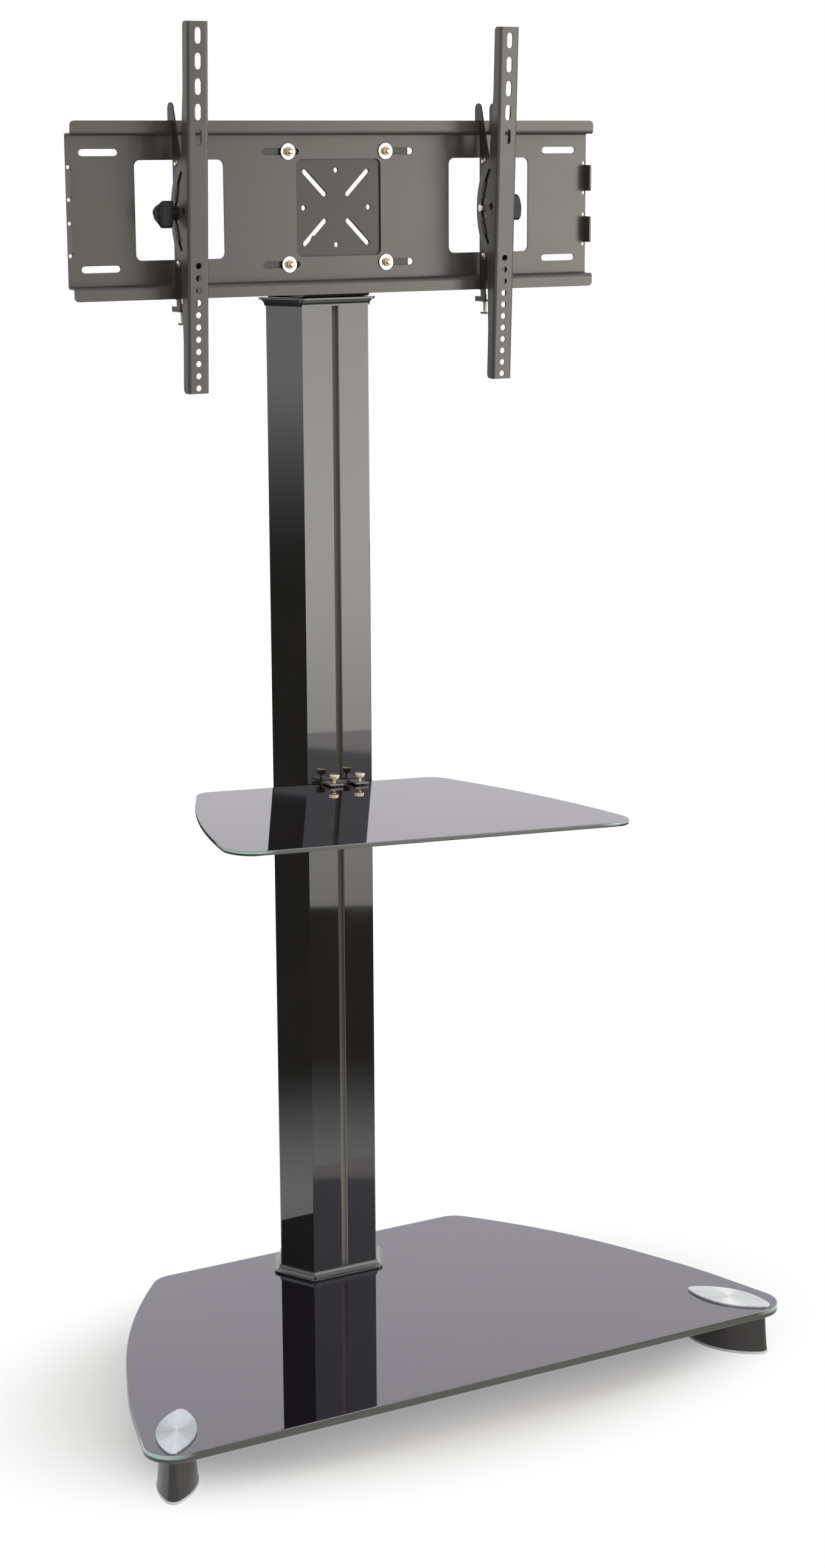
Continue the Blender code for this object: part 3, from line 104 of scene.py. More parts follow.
@dataclass(frozen=True)
class Outline:
    """A closed convex outline made of arcs. Growing it only adds to each arc's radius.

    centre is (n, 2), radius and heading are (n,): a point is its centre plus radius times the unit
    vector of its heading.
    """

    centre: Array
    radius: Array
    heading: Array

    @classmethod
    def chain(
        cls, arcs: Sequence[tuple[float, float, float, float, float]], step_deg: float, share: bool
    ) -> Outline:
        """Joins arcs into one outline.

        Args:
            arcs: Centre x, centre y, radius, and first and last heading in degrees, anticlockwise.
            step_deg: The largest turn between two points.
            share: Whether neighbouring arcs meet in one point, so that each leaves out its last.

        Returns:
            The outline.
        """
        centres, radii, headings = [], [], []
        for x, y, radius, first, last in arcs:
            steps = max(2, math.ceil((last - first) / step_deg))
            turn = np.radians(np.linspace(first, last, steps + 1))
            turn = turn[:-1] if share else turn
            centres.append(np.tile((x, y), (len(turn), 1)))
            radii.append(np.full(len(turn), radius))
            headings.append(turn)
        return cls(np.concatenate(centres), np.concatenate(radii), np.concatenate(headings))

    @classmethod
    def polygon(
        cls, corners: Sequence[tuple[float, float]], radii: Sequence[float], step_deg: float = 6.0
    ) -> Outline:
        """A convex polygon, anticlockwise. Corner i is an arc of radius i between its edges' normals."""
        points = np.asarray(corners, float)
        edges = np.roll(points, -1, axis=0) - points
        normals = np.stack([edges[:, 1], -edges[:, 0]], axis=1)
        normals /= np.linalg.norm(normals, axis=1, keepdims=True)
        before = np.roll(normals, 1, axis=0)
        reach = np.asarray(radii, float) / (1.0 + np.sum(before * normals, axis=1))
        centres = points - (before + normals) * reach[:, None]
        first = np.degrees(np.arctan2(before[:, 1], before[:, 0]))
        turn = np.degrees(np.arctan2(normals[:, 1], normals[:, 0])) - first
        last = first + np.mod(turn, 360.0)
        arcs = [(*centre, radius, a, b) for centre, radius, a, b in zip(centres, radii, first, last)]
        return cls.chain(arcs, step_deg, share=False)

    @classmethod
    def lens(
        cls, length: float, width: float, tip: float, centre: tuple[float, float], turn_deg: float
    ) -> Outline:
        """Two wide arcs that meet in round tips. The length lies along Y before the turn."""
        radius = ((length / 2 - tip) ** 2 - tip**2 + width**2 / 4) / (width - 2 * tip)
        side, top = radius - width / 2, length / 2 - tip
        spread = math.degrees(math.atan2(top, side))
        arcs = [(-side, 0.0, radius, -spread, spread), (0.0, top, tip, spread, 180 - spread)]
        arcs.append((side, 0.0, radius, 180 - spread, 180 + spread))
        arcs.append((0.0, -top, tip, 180 + spread, 360 - spread))
        straight = cls.chain(arcs, 3.0, share=True)
        turn = math.radians(turn_deg)
        spin = np.array([[math.cos(turn), math.sin(turn)], [-math.sin(turn), math.cos(turn)]])
        return cls(straight.centre @ spin + np.asarray(centre), straight.radius, straight.heading + turn)

    def rings(self, grow: Array, height: Array) -> Array:
        """The outline grown and lifted, as rings: (m, n, 3) for m values of grow and height."""
        unit = np.stack([np.cos(self.heading), np.sin(self.heading)], axis=1)
        plan = self.centre[None] + (self.radius[None] + grow[:, None])[..., None] * unit[None]
        lift = np.broadcast_to(height[:, None, None], (*plan.shape[:2], 1))
        return np.concatenate([plan, lift], axis=2)


@dataclass(frozen=True)
class Lathe:
    """Surfaces round a local Z axis: a radius is a function of angle and height."""

    count: int = 48

    @property
    def theta(self) -> Array:
        """The angles of a ring's points."""
        return np.arange(self.count) * 2 * np.pi / self.count

    def hexagon(self, flats: float) -> Array:
        """Half the flats over the cosine of the angle to the nearest flat's middle."""
        return flats / 2 / np.cos(np.mod(self.theta + np.pi / 6, np.pi / 3) - np.pi / 6)

    def knurled(self, radius: float, ridges: int, depth: float) -> Array:
        """A radius that dips by a depth between ridges, as the sine's size does."""
        return radius - depth * (1.0 - np.abs(np.sin(ridges * self.theta / 2)))

    def three_flats(self, flat: float, corner: float, turn_deg: float = 8.0) -> Array:
        """Three flats at one distance from the axis, cut off at the corners' radius."""
        turn = np.mod(self.theta + np.radians(turn_deg), 2 * np.pi / 3) - np.pi / 3
        return np.minimum(flat / np.cos(turn), corner)

    def rings(self, rows: Sequence[tuple[Union[float, Array], float]]) -> Array:
        """Rings from radius and height pairs. A radius is one number or one for each angle."""
        radius = np.stack([np.broadcast_to(np.asarray(r, float), (self.count,)) for r, _ in rows])
        height = np.array([z for _, z in rows])
        return self.polar(radius, height)

    def polar(self, radius: Array, height: Array) -> Array:
        """Points at (radius cos, radius sin, height) for a radius grid of (m, n)."""
        x, y = radius * np.cos(self.theta), radius * np.sin(self.theta)
        return np.stack([x, y, np.broadcast_to(height[:, None], radius.shape)], axis=2)

    def thread(self, radius: float, pitch: float, low: float, high: float) -> Array:
        """A screw thread: a triangle wave of height over pitch less the share of a turn.

        The wave's depth is 0.6 of the pitch, and it fades out over the last turn at both ends.
        """
        rows = max(4, math.ceil((high - low) / pitch * 8))
        height = np.linspace(low, high, rows)
        phase = height[:, None] / pitch - self.theta[None] / (2 * np.pi)
        tooth = np.abs(2 * np.mod(phase, 1.0) - 1)
        fade = np.clip(np.minimum(height - low, high - height) / pitch, 0, 1)[:, None]
        return self.polar(radius - 0.6 * pitch * (1 - tooth * fade), height)


def arc_rows(
    centre: tuple[float, float], radius: float, first: float, last: float, steps: int = 5
) -> list[tuple[float, float]]:
    """Radius and height pairs along a round of a turned profile, between two headings in degrees."""
    turn = np.radians(np.linspace(first, last, steps + 1))
    return [(centre[0] + radius * c, centre[1] + radius * s) for c, s in zip(np.cos(turn), np.sin(turn))]


def slab_profile(low: float, high: float, arris: float, steps: int = 5) -> tuple[Array, Array]:
    """Grow and height of a flat slab with quarter-circle arrises, each with a flat ring inside it."""
    turn = np.linspace(0, np.pi / 2, steps + 1)
    grow = np.concatenate([[-2.0], np.sin(turn) - 1, np.cos(turn) - 1, [-2.0]]) * arris
    lower, upper = low + arris * (1 - np.cos(turn)), high - arris * (1 - np.sin(turn))
    return grow, np.concatenate([[low], lower, upper, [high]])


@dataclass(frozen=True)
class Place:
    """Where a surface goes: its origin, and rows that hold the directions of its local axes."""

    origin: Point
    axes: tuple[Point, Point, Point] = ((1, 0, 0), (0, 1, 0), (0, 0, 1))

    @classmethod
    def across(cls, origin: Point, side: int) -> Place:
        """Local Z along X, to the left or to the right."""
        return cls(origin, ((0, 1, 0), (0, 0, side), (side, 0, 0)))

    @classmethod
    def facing(cls, origin: Point, side: int) -> Place:
        """Local Z along Y, to the front for -1 and to the back for 1."""
        return cls(origin, ((1, 0, 0), (0, 0, -side), (0, side, 0)))

    @classmethod
    def rolled(cls, origin: Point, normal: Point) -> Place:
        """Local Z along a normal that lies in the XZ plane, and local Y along Y."""
        return cls(origin, ((normal[2], 0, -normal[0]), (0, 1, 0), normal))

    def apply(self, points: Array) -> Array:
        """Local points as points of the frame."""
        return np.asarray(self.origin, float) + points @ np.asarray(self.axes, float)


def skin(
    name: str, rings: Array, place: Place, loop: bool = False, sharp_deg: float = 34.0
) -> bpy.types.Object:
    """Makes a closed mesh from a grid of rings.

    Args:
        name: The piece's name.
        rings: Points as (m, n, 3), in local coordinates.
        place: Where they go.
        loop: Whether the last ring joins the first. Otherwise the two ends are capped.
        sharp_deg: The angle above which an edge stays sharp.

    Returns:
        The piece, at the origin, with its place in its mesh.
    """
    rows, count, _ = rings.shape
    index = np.arange(rows * count).reshape(rows, count)
    lower = index if loop else index[:-1]
    upper = np.roll(index, -1, axis=0) if loop else index[1:]
    quads = np.stack([lower, np.roll(lower, -1, axis=1), np.roll(upper, -1, axis=1), upper], axis=-1)
    faces = quads.reshape(-1, 4).tolist()
    if not loop:
        faces += [index[0][::-1].tolist(), index[-1].tolist()]
    mesh = bpy.data.meshes.new(name)
    mesh.from_pydata(place.apply(rings.reshape(-1, 3)).tolist(), [], faces)
    bm = bmesh.new()
    bm.from_mesh(mesh)
    bmesh.ops.recalc_face_normals(bm, faces=bm.faces)
    bm.to_mesh(mesh)
    bm.free()
    mesh.shade_smooth()
    mesh.set_sharp_from_angle(angle=math.radians(sharp_deg))
    piece = bpy.data.objects.new(name, mesh)
    bpy.context.scene.collection.objects.link(piece)
    weighted = piece.modifiers.new("flat_faces_stay_flat", "WEIGHTED_NORMAL")
    weighted.keep_sharp = True
    return piece


# Shader maths


def math_node(operation: str, flipped: bool = False) -> Callable[..., Wire]:
    """A method that adds a Math node of its wire and, where one is given, another value."""

    def method(wire: Wire, other: Any = None) -> Wire:
        """Adds the node. Flipped, the other value comes first."""
        values = [wire] if other is None else [wire, other]
        values = values[::-1] if flipped else values
        return wire.book.node("ShaderNodeMath", {"operation": operation}, dict(enumerate(values)))

    return method


class Wire:
    """An output socket that takes part in arithmetic.

    highest is the higher of two values. angle is the angle whose tangent is this over another.
    """

    __add__ = __radd__ = math_node("ADD")
    __mul__ = __rmul__ = math_node("MULTIPLY")
    __sub__ = math_node("SUBTRACT")
    __rsub__ = math_node("SUBTRACT", flipped=True)
    __truediv__ = math_node("DIVIDE")
    __pow__ = math_node("POWER")
    __abs__ = math_node("ABSOLUTE")
    highest = math_node("MAXIMUM")
    cosine = math_node("COSINE")
    angle = math_node("ARCTAN2")

    def __init__(self, book: Book, socket: bpy.types.NodeSocket) -> None:
        """Keeps the book that adds nodes, and the socket."""
        self.book = book
        self.socket = socket

    def rise(self, low: float, high: float) -> Wire:
        """Goes smoothly from 0 at low to 1 at high."""
        settings = {"interpolation_type": "SMOOTHSTEP"}
        inputs = {"Value": self, "From Min": low, "From Max": high}
        return self.book.node("ShaderNodeMapRange", settings, inputs)


class Book:
    """Adds the nodes of one tree. Numbers are set on sockets and wires are linked."""

    def __init__(self, tree: bpy.types.NodeTree) -> None:
        """Starts with an empty tree."""
        self.tree = tree
        self.tree.nodes.clear()

    def node(self, kind: str, settings: dict[str, Any], inputs: dict[Any, Any], output: Any = 0) -> Wire:
        """Adds one node.

        Args:
            kind: The node's type.
            settings: Its properties, which are set first.
            inputs: Values or wires, by socket name or number.
            output: The output's name or number.

        Returns:
            The output.
        """
        made = self.tree.nodes.new(kind)
        for key, value in settings.items():
            setattr(made, key, value)
        for key, value in inputs.items():
            self.feed(made.inputs[key], value)
        return Wire(self, made.outputs[output])

    def feed(self, socket: bpy.types.NodeSocket, value: Any) -> None:
        """Links a wire to a socket, or sets a number or a colour on it."""
        if isinstance(value, Wire):
            self.tree.links.new(value.socket, socket)
        elif isinstance(value, tuple) and len(value) == 3 and socket.type == "RGBA":
            socket.default_value = (*value, 1.0)
        else:
            socket.default_value = value

    def end(self, shader: Wire, kind: str) -> None:
        """Ends the tree with a shader."""
        made = self.tree.nodes.new(kind)
        self.tree.links.new(shader.socket, made.inputs["Surface"])

    def place(self) -> Wire:
        """The piece's own coordinates."""
        return self.node("ShaderNodeTexCoord", {}, {}, "Object")

    def split(self, vector: Wire) -> tuple[Wire, Wire, Wire]:
        """A vector's three parts."""
        made = self.node("ShaderNodeSeparateXYZ", {}, {0: vector}).socket.node
        return tuple(Wire(self, socket) for socket in made.outputs)

    def vector(self, operation: str, first: Any, second: Any) -> Wire:
        """One Vector Math node with a vector result."""
        return self.node("ShaderNodeVectorMath", {"operation": operation}, {0: first, 1: second})

    def dot(self, first: Any, second: Any) -> Wire:
        """The dot product of two vectors."""
        settings = {"operation": "DOT_PRODUCT"}
        return self.node("ShaderNodeVectorMath", settings, {0: first, 1: second}, "Value")

    def noise(self, where: Wire, scale: float, detail: float = 2.0) -> Wire:
        """Soft noise from about 0 to 1, with a number of cells in each metre."""
        inputs = {"Vector": where, "Scale": scale, "Detail": detail}
        return self.node("ShaderNodeTexNoise", {}, inputs, "Fac")

    def mix(self, share: Any, first: Any, second: Any) -> Wire:
        """A colour between two."""
        return self.node("ShaderNodeMix", {"data_type": "RGBA"}, {0: share, 6: first, 7: second}, 2)

    def bump(self, height: Wire, depth: float, normal: Any = None) -> Wire:
        """A normal that follows a height from 0 to 1, whose full step is a depth in metres."""
        inputs = {"Height": height, "Distance": depth, "Strength": 1.0}
        if normal is not None:
            inputs["Normal"] = normal
        return self.node("ShaderNodeBump", {}, inputs)

    def eased(self, radius: float) -> Wire:
        """A normal that turns smoothly over sharp edges, as a sanded or coated edge does."""
        return self.node("ShaderNodeBevel", {"samples": 4}, {"Radius": radius})


def scaled(colour: Colour, factor: float) -> Colour:
    """A colour made lighter or darker."""
    return tuple(min(1.0, part * factor) for part in colour)


@dataclass(frozen=True)
class Finish:
    """One material. A subclass says what varies over the surface."""

    name: str
    colour: Colour
    roughness: float
    metallic: float = 0.0
    coat: float = 0.0
    coat_roughness: float = 0.02
    coat_ior: float = 1.5
    specular: float = 0.5
    tint: Colour = (1.0, 1.0, 1.0)

    def build(self) -> bpy.types.Material:
        """Makes the material."""
        made = bpy.data.materials.new(self.name)
        made.use_nodes = True
        book = Book(made.node_tree)
        inputs = {
            "Base Color": self.colour,
            "Roughness": self.roughness,
            "Metallic": self.metallic,
            "Specular IOR Level": self.specular,
            "Coat Weight": self.coat,
            "Coat Tint": self.tint,
            "Coat Roughness": self.coat_roughness,
            "Coat IOR": self.coat_ior,
        }
        inputs.update(self.variation(book))
        book.end(book.node("ShaderNodeBsdfPrincipled", {}, inputs), "ShaderNodeOutputMaterial")
        return made

    def variation(self, book: Book) -> dict[str, Wire]:
        """The sockets that vary, with their wires."""
        raise NotImplementedError

    def toned(self, book: Book, share: Wire, spread: float) -> Wire:
        """The colour, darker to lighter by a spread as the share goes from 0 to 1."""
        return book.mix(share, scaled(self.colour, 1 - spread), scaled(self.colour, 1 + spread))


@dataclass(frozen=True)
class PowderCoat(Finish):
    """Satin black coat on sheet steel: a fine orange peel, faint clouds and eased edges."""

    peel_depth: float = 0.00005
    edge: float = 0.0006

    def variation(self, book: Book) -> dict[str, Wire]:
        """Peel in the normal, clouds in colour and roughness."""
        where = book.place()
        peel = book.noise(where, 900.0, 1.0)
        cloud = book.noise(where, 9.0, 3.0).rise(0.3, 0.7)
        normal = book.bump(peel, self.peel_depth, book.eased(self.edge))
        roughness = self.roughness - 0.04 + cloud * 0.06 + peel * 0.04
        return {"Base Color": self.toned(book, cloud, 0.08), "Roughness": roughness, "Normal": normal}


@dataclass(frozen=True)
class HookCoat(PowderCoat):
    """Powder coat with the narrow slits that are pressed into the hook bracket's raised guides."""

    middle: float = 0.0
    axis: tuple[float, float] = (0.0, 0.0)
    guide_radius: float = 0.077
    guide_middle_deg: float = 18.9
    slit_deg: tuple[float, float] = (1.3, 7.9)
    slit_half: float = 0.0008
    face: float = 0.0161

    def variation(self, book: Book) -> dict[str, Wire]:
        """The coat, darkened where a point lies in a slit on a guide's outer face."""
        found = super().variation(book)
        x, y, z = book.split(book.place())
        across, up = y - self.axis[0], z - self.axis[1]
        off_line = abs((across * across + up * up) ** 0.5 - self.guide_radius)
        turn = abs(abs(up.angle(across)) - math.radians(self.guide_middle_deg))
        low, high = (math.radians(angle) for angle in self.slit_deg)
        on_line = 1 - off_line.rise(self.slit_half * 0.8, self.slit_half * 1.2)
        on_turn = turn.rise(low * 0.9, low * 1.1) * (1 - turn.rise(high * 0.98, high * 1.02))
        on_face = abs(x - self.middle).rise(self.face, self.face + 0.0001)
        slit = on_line * on_turn * on_face
        found["Base Color"] = book.mix(slit, found["Base Color"], scaled(self.colour, 0.05))
        found["Roughness"] = found["Roughness"] + slit * 0.4
        return found


@dataclass(frozen=True)
class GlossCoat(Finish):
    """Polished black coat: long waves, faint drawn lines and a little haze."""

    wave_depth: float = 0.0004

    def variation(self, book: Book) -> dict[str, Wire]:
        """Waves and lines in the normal, haze in the roughness."""
        where = book.place()
        lines = book.noise(book.vector("MULTIPLY", where, (1.0, 1.0, 0.004)), 500.0)
        wave = book.noise(where, 4.0, 1.0)
        haze = book.noise(where, 14.0, 4.0).rise(0.35, 0.8)
        normal = book.bump(wave + lines * 0.02, self.wave_depth, book.eased(0.0008))
        roughness = self.roughness + haze * 0.03
        return {"Base Color": self.toned(book, haze, 0.2), "Roughness": roughness, "Normal": normal}


@dataclass(frozen=True)
class ColumnCoat(GlossCoat):
    """The column's gloss outside, and a dull thin coat in the groove, paler towards the floor as painted
    light from the floor.
    """

    mouth: float = 0.0103
    floor: float = 0.0112
    shade: Colour = (0.26, 0.245, 0.215)
    rubbed: Colour = (0.52, 0.49, 0.46)
    dull: float = 0.4

    def variation(self, book: Book) -> dict[str, Wire]:
        """The gloss, mixed with the groove's finish near the middle, down to the groove's floor."""
        found = super().variation(book)
        x, y, z = book.split(book.place())
        inside = (1 - abs(x).rise(self.mouth, self.mouth + 0.0003)) * y.rise(0.0003, 0.0007)
        inside = inside * (1 - y.rise(self.floor, self.floor + 0.0003))
        # Painted light: the groove's colours are drawn light to lift the shade inside it, and paler still
        # lower down, where light from the floor reaches in.
        groove = book.mix(z.rise(0.2, 0.5), self.rubbed, self.shade)
        found["Base Color"] = book.mix(inside, found["Base Color"], groove)
        found["Roughness"] = found["Roughness"] + inside * self.dull
        found["Coat Weight"] = self.coat * (1 - inside)
        return found


@dataclass(frozen=True)
class SheetGlass(Finish):
    """Glass painted on its back: a deep even face with a painted highlight along its top arris, and a
    polished edge that carries, near the front corners, a pale teal band of painted light in its upper half.
    """

    normal: Point = (0.0, 0.0, 1.0)
    low: float = 0.0
    thickness: float = 0.006
    corner: tuple[float, float] = (0.0, 0.0)
    shift: float = 0.0
    corner_reach: float = 0.05
    edge_colour: Colour = (0.034, 0.034, 0.027)
    teal: Colour = (0.40, 0.52, 0.50)
    arris_colour: Colour = (0.22, 0.215, 0.21)

    def variation(self, book: Book) -> dict[str, Wire]:
        """The face with its painted arris highlight, the dark edge, and the pale teal band of painted light,
        as light through the clear glass, in the upper half of the edge at the front corners.
        """
        where = book.place()
        x, y, _ = book.split(where)
        depth = (book.dot(where, self.normal) - self.low) / self.thickness
        upright = book.dot(book.node("ShaderNodeTexCoord", {}, {}, "Normal"), self.normal)
        side = 1 - abs(upright).rise(0.35, 0.6)
        # Painted highlight: the top arris is drawn paler, as the bright room reflected in the polished
        # arris.
        arris = (1 - abs(upright).rise(0.9, 0.99)) * (1 - side)
        out, ahead = abs(x - self.shift) - self.corner[0], y - self.corner[1]
        near = 1 - ((out * out + ahead * ahead) ** 0.5).rise(self.corner_reach * 0.6, self.corner_reach)
        haze = book.noise(where, 7.0, 3.0)
        face = book.mix(arris, self.toned(book, haze.rise(0.3, 0.7), 0.05), self.arris_colour)
        # Painted light: a pale teal band in the upper half of the edge near the front corners, as light
        # shining through the clear glass in its own green tint.
        edge = book.mix(near * depth.rise(0.42, 0.58), self.edge_colour, self.teal)
        roughness = self.roughness + haze * 0.01 + side * 0.2
        weight = self.coat * (1 - side)
        return {"Base Color": book.mix(side, face, edge), "Roughness": roughness, "Coat Weight": weight}


@dataclass(frozen=True)
class PlatedMetal(Finish):
    """Plated steel or brass: fine grain, small stains and eased edges."""

    grain_depth: float = 0.000008

    def variation(self, book: Book) -> dict[str, Wire]:
        """Grain in the normal, stains in colour and roughness."""
        where = book.place()
        grain = book.noise(where, 2400.0, 3.0)
        stain = book.noise(where, 160.0, 3.0).rise(0.3, 0.75)
        roughness = self.roughness - 0.05 + stain * 0.12
        normal = book.bump(grain, self.grain_depth, book.eased(0.0003))
        return {"Base Color": self.toned(book, 1 - stain, 0.08), "Roughness": roughness, "Normal": normal}


@dataclass(frozen=True)
class SpunMetal(Finish):
    """Aluminium brushed outwards from its middle, with bright and dark wedges painted in as the brushed
    sheen's highlight.
    """

    middle: tuple[float, float] = (0.0, 0.0)
    bright_deg: float = 60.0

    def variation(self, book: Book) -> dict[str, Wire]:
        """Streaks that follow the direction from the middle: noise on its unit vector."""
        x, y, _ = book.split(book.place())
        across, ahead = x - self.middle[0], y - self.middle[1]
        reach = ((across * across + ahead * ahead) ** 0.5).highest(0.0005)
        around = book.node("ShaderNodeCombineXYZ", {}, {0: across / reach, 1: ahead / reach, 2: reach * 0.8})
        streak = book.noise(around, 38.0, 4.0)
        broad = book.noise(around, 3.0, 1.0)
        # Painted highlight: bright and dark wedges round the middle stand in for the brushed sheen; the
        # streaks are the brushing itself.
        painted_sheen_wedge = ((ahead.angle(across) - math.radians(self.bright_deg)) * 2).cosine() * 0.5 + 0.5
        share = (painted_sheen_wedge * painted_sheen_wedge * 0.55 + streak.rise(0.25, 0.75) * 0.3 + broad.rise(0.3, 0.7) * 0.15)
        colour = book.mix(share, scaled(self.colour, 0.62), scaled(self.colour, 1.25))
        normal = book.bump(streak, 0.00003, book.eased(0.0006))
        return {"Base Color": colour, "Roughness": self.roughness + streak * 0.12, "Normal": normal}


@dataclass(frozen=True)
class Moulded(Finish):
    """Moulded plastic or rubber: a fine spark-eroded grain and soft edges."""

    grain: float = 1800.0
    grain_depth: float = 0.00003

    def variation(self, book: Book) -> dict[str, Wire]:
        """Grain in normal and roughness, slow clouds in colour."""
        where = book.place()
        grain = book.noise(where, self.grain, 2.0)
        cloud = book.noise(where, 30.0, 3.0).rise(0.3, 0.7)
        normal = book.bump(grain, self.grain_depth, book.eased(0.0005))
        roughness = self.roughness - 0.04 + grain * 0.08
        return {"Base Color": self.toned(book, cloud, 0.08), "Roughness": roughness, "Normal": normal}


# Pieces


class Stand:
    """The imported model: its nodes, slots and joints, and the finishes that they take."""

    def __init__(self, frame: dict[str, Any]) -> None:
        """Reads the frame, and starts with no finishes."""
        self.nodes = frame["nodes"]
        self.slots = {row["node"]: row["material_slot"] for row in frame["record"]["subparts"]}
        self.joints = {joint["name"]: joint for joint in frame["joints"]}
        self.finishes: dict[str, bpy.types.Material] = {}

    def add(self, finish: Finish) -> None:
        """Builds a finish and keeps it under its name."""
        self.finishes[finish.name] = finish.build()

    def centre(self, node: str) -> Point:
        """The middle of a node's box."""
        low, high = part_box(node)
        return tuple((low + high) / 2)

    def make(
        self,
        node: str,
        name: str,
        finish: str,
        rings: Array,
        place: Place = Place((0, 0, 0)),
        **options: Any,
    ) -> None:
        """Makes a piece that takes a node's place and body, and hides the node.

        Args:
            node: The node that the piece replaces.
            name: The piece's name.
            finish: The name of its finish.
            rings: Its surface, as skin takes it.
            place: Where the surface goes.
            options: What else skin takes.
        """
        piece = skin(name, rings, place, **options)
        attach(piece, self.nodes[node]["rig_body"])
        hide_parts(node)
        piece.data.materials.append(self.finishes[finish])
        LOG.info("%s stands for %s in %s, %d points", piece.name, node, finish, len(piece.data.vertices))

    def dress(self, node: str, finish: str) -> None:
        """Gives a node that stays its finish."""
        mesh = self.nodes[node].data
        mesh.materials.clear()
        mesh.materials.append(self.finishes[finish])


@dataclass
class GlassSheet:
    """One sheet of glass with straight front and back edges and bowed sides."""

    node: str
    front_half: float
    back_half: float
    front_y: float
    back_y: float
    bends: tuple[tuple[float, float, float], ...]
    corner: float
    thickness: float
    arris: float

    def outline(self) -> Outline:
        """The plan. Each bend is its place, bulge and radius as shares of the side's length."""
        front, back = np.array([self.front_half, self.front_y]), np.array([self.back_half, self.back_y])
        side = back - front
        length = float(np.linalg.norm(side))
        outward = np.array([side[1], -side[0]])
        bends = [front + side * at + outward * bulge for at, bulge, _ in self.bends]
        right = np.array([front, *bends, back])
        radii = [self.corner, *(radius * length for _, _, radius in self.bends), self.corner]
        corners = np.concatenate([right, right[::-1] * (-1, 1)])
        return Outline.polygon(corners, radii + radii[::-1], 1.5)

    def build(self, stand: Stand, place: Place, finish: str) -> None:
        """Makes the sheet, whose top lies at local Z = 0."""
        grow, height = slab_profile(-self.thickness, 0.0, self.arris, 6)
        stand.make(self.node, f"{self.node}_sheet", finish, self.outline().rings(grow, height), place)


@dataclass
class Collar:
    """A coved ring round the six-sided column: a flat flange, then a hollow that narrows to a thin lip."""

    front_half: float = 0.052
    middle_half: float = 0.080
    depth: float = 0.108
    front_edge: float = 0.001
    side_edge: float = 0.004
    clear: float = 0.0003
    flare: float = 0.0100
    flange: float = 0.0034
    rim: float = 0.0020
    height: float = 0.012
    ease: float = 0.0006

    def outline(self) -> Outline:
        """The column's plan."""
        half, wide, deep = self.front_half, self.middle_half, self.depth
        corners = [(-half, 0), (half, 0), (wide, deep / 2), (half, deep), (-half, deep), (-wide, deep / 2)]
        front, side = self.front_edge, self.side_edge
        return Outline.polygon(corners, [front, front, side, front, front, side], 6.0)

    def profile(self) -> Array:
        """Grow and height pairs: two eased flange edges, then a quarter of an ellipse as the cove."""
        ease, out = self.ease, self.flare
        rows = [(self.clear, 0.0), *arc_rows((out - ease, ease), ease, -90, 0)]
        rows += arc_rows((out - ease, self.flange - ease), ease, 0, 90)
        cove_wide, cove_tall = out - ease - self.rim, self.height - self.flange
        for turn in np.linspace(0, np.pi / 2, 13)[1:]:
            radius = out - ease - cove_wide * math.sin(turn)
            rows.append((radius, self.flange + cove_tall * (1 - math.cos(turn))))
        rows.append((self.clear, self.height))
        return np.array(rows)

    def build(self, stand: Stand) -> None:
        """Makes the lower collar on the glass and the upper one, upside down, at the column's top."""
        rows = self.profile()
        for node, direction in (("lower_collar", 1), ("upper_collar", -1)):
            low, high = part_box(node)
            seat = low.z if direction > 0 else high.z
            rings = self.outline().rings(rows[:, 0], seat + direction * rows[:, 1])
            stand.make(node, f"{node}_ring", "collar_gloss", rings, loop=True, sharp_deg=40)


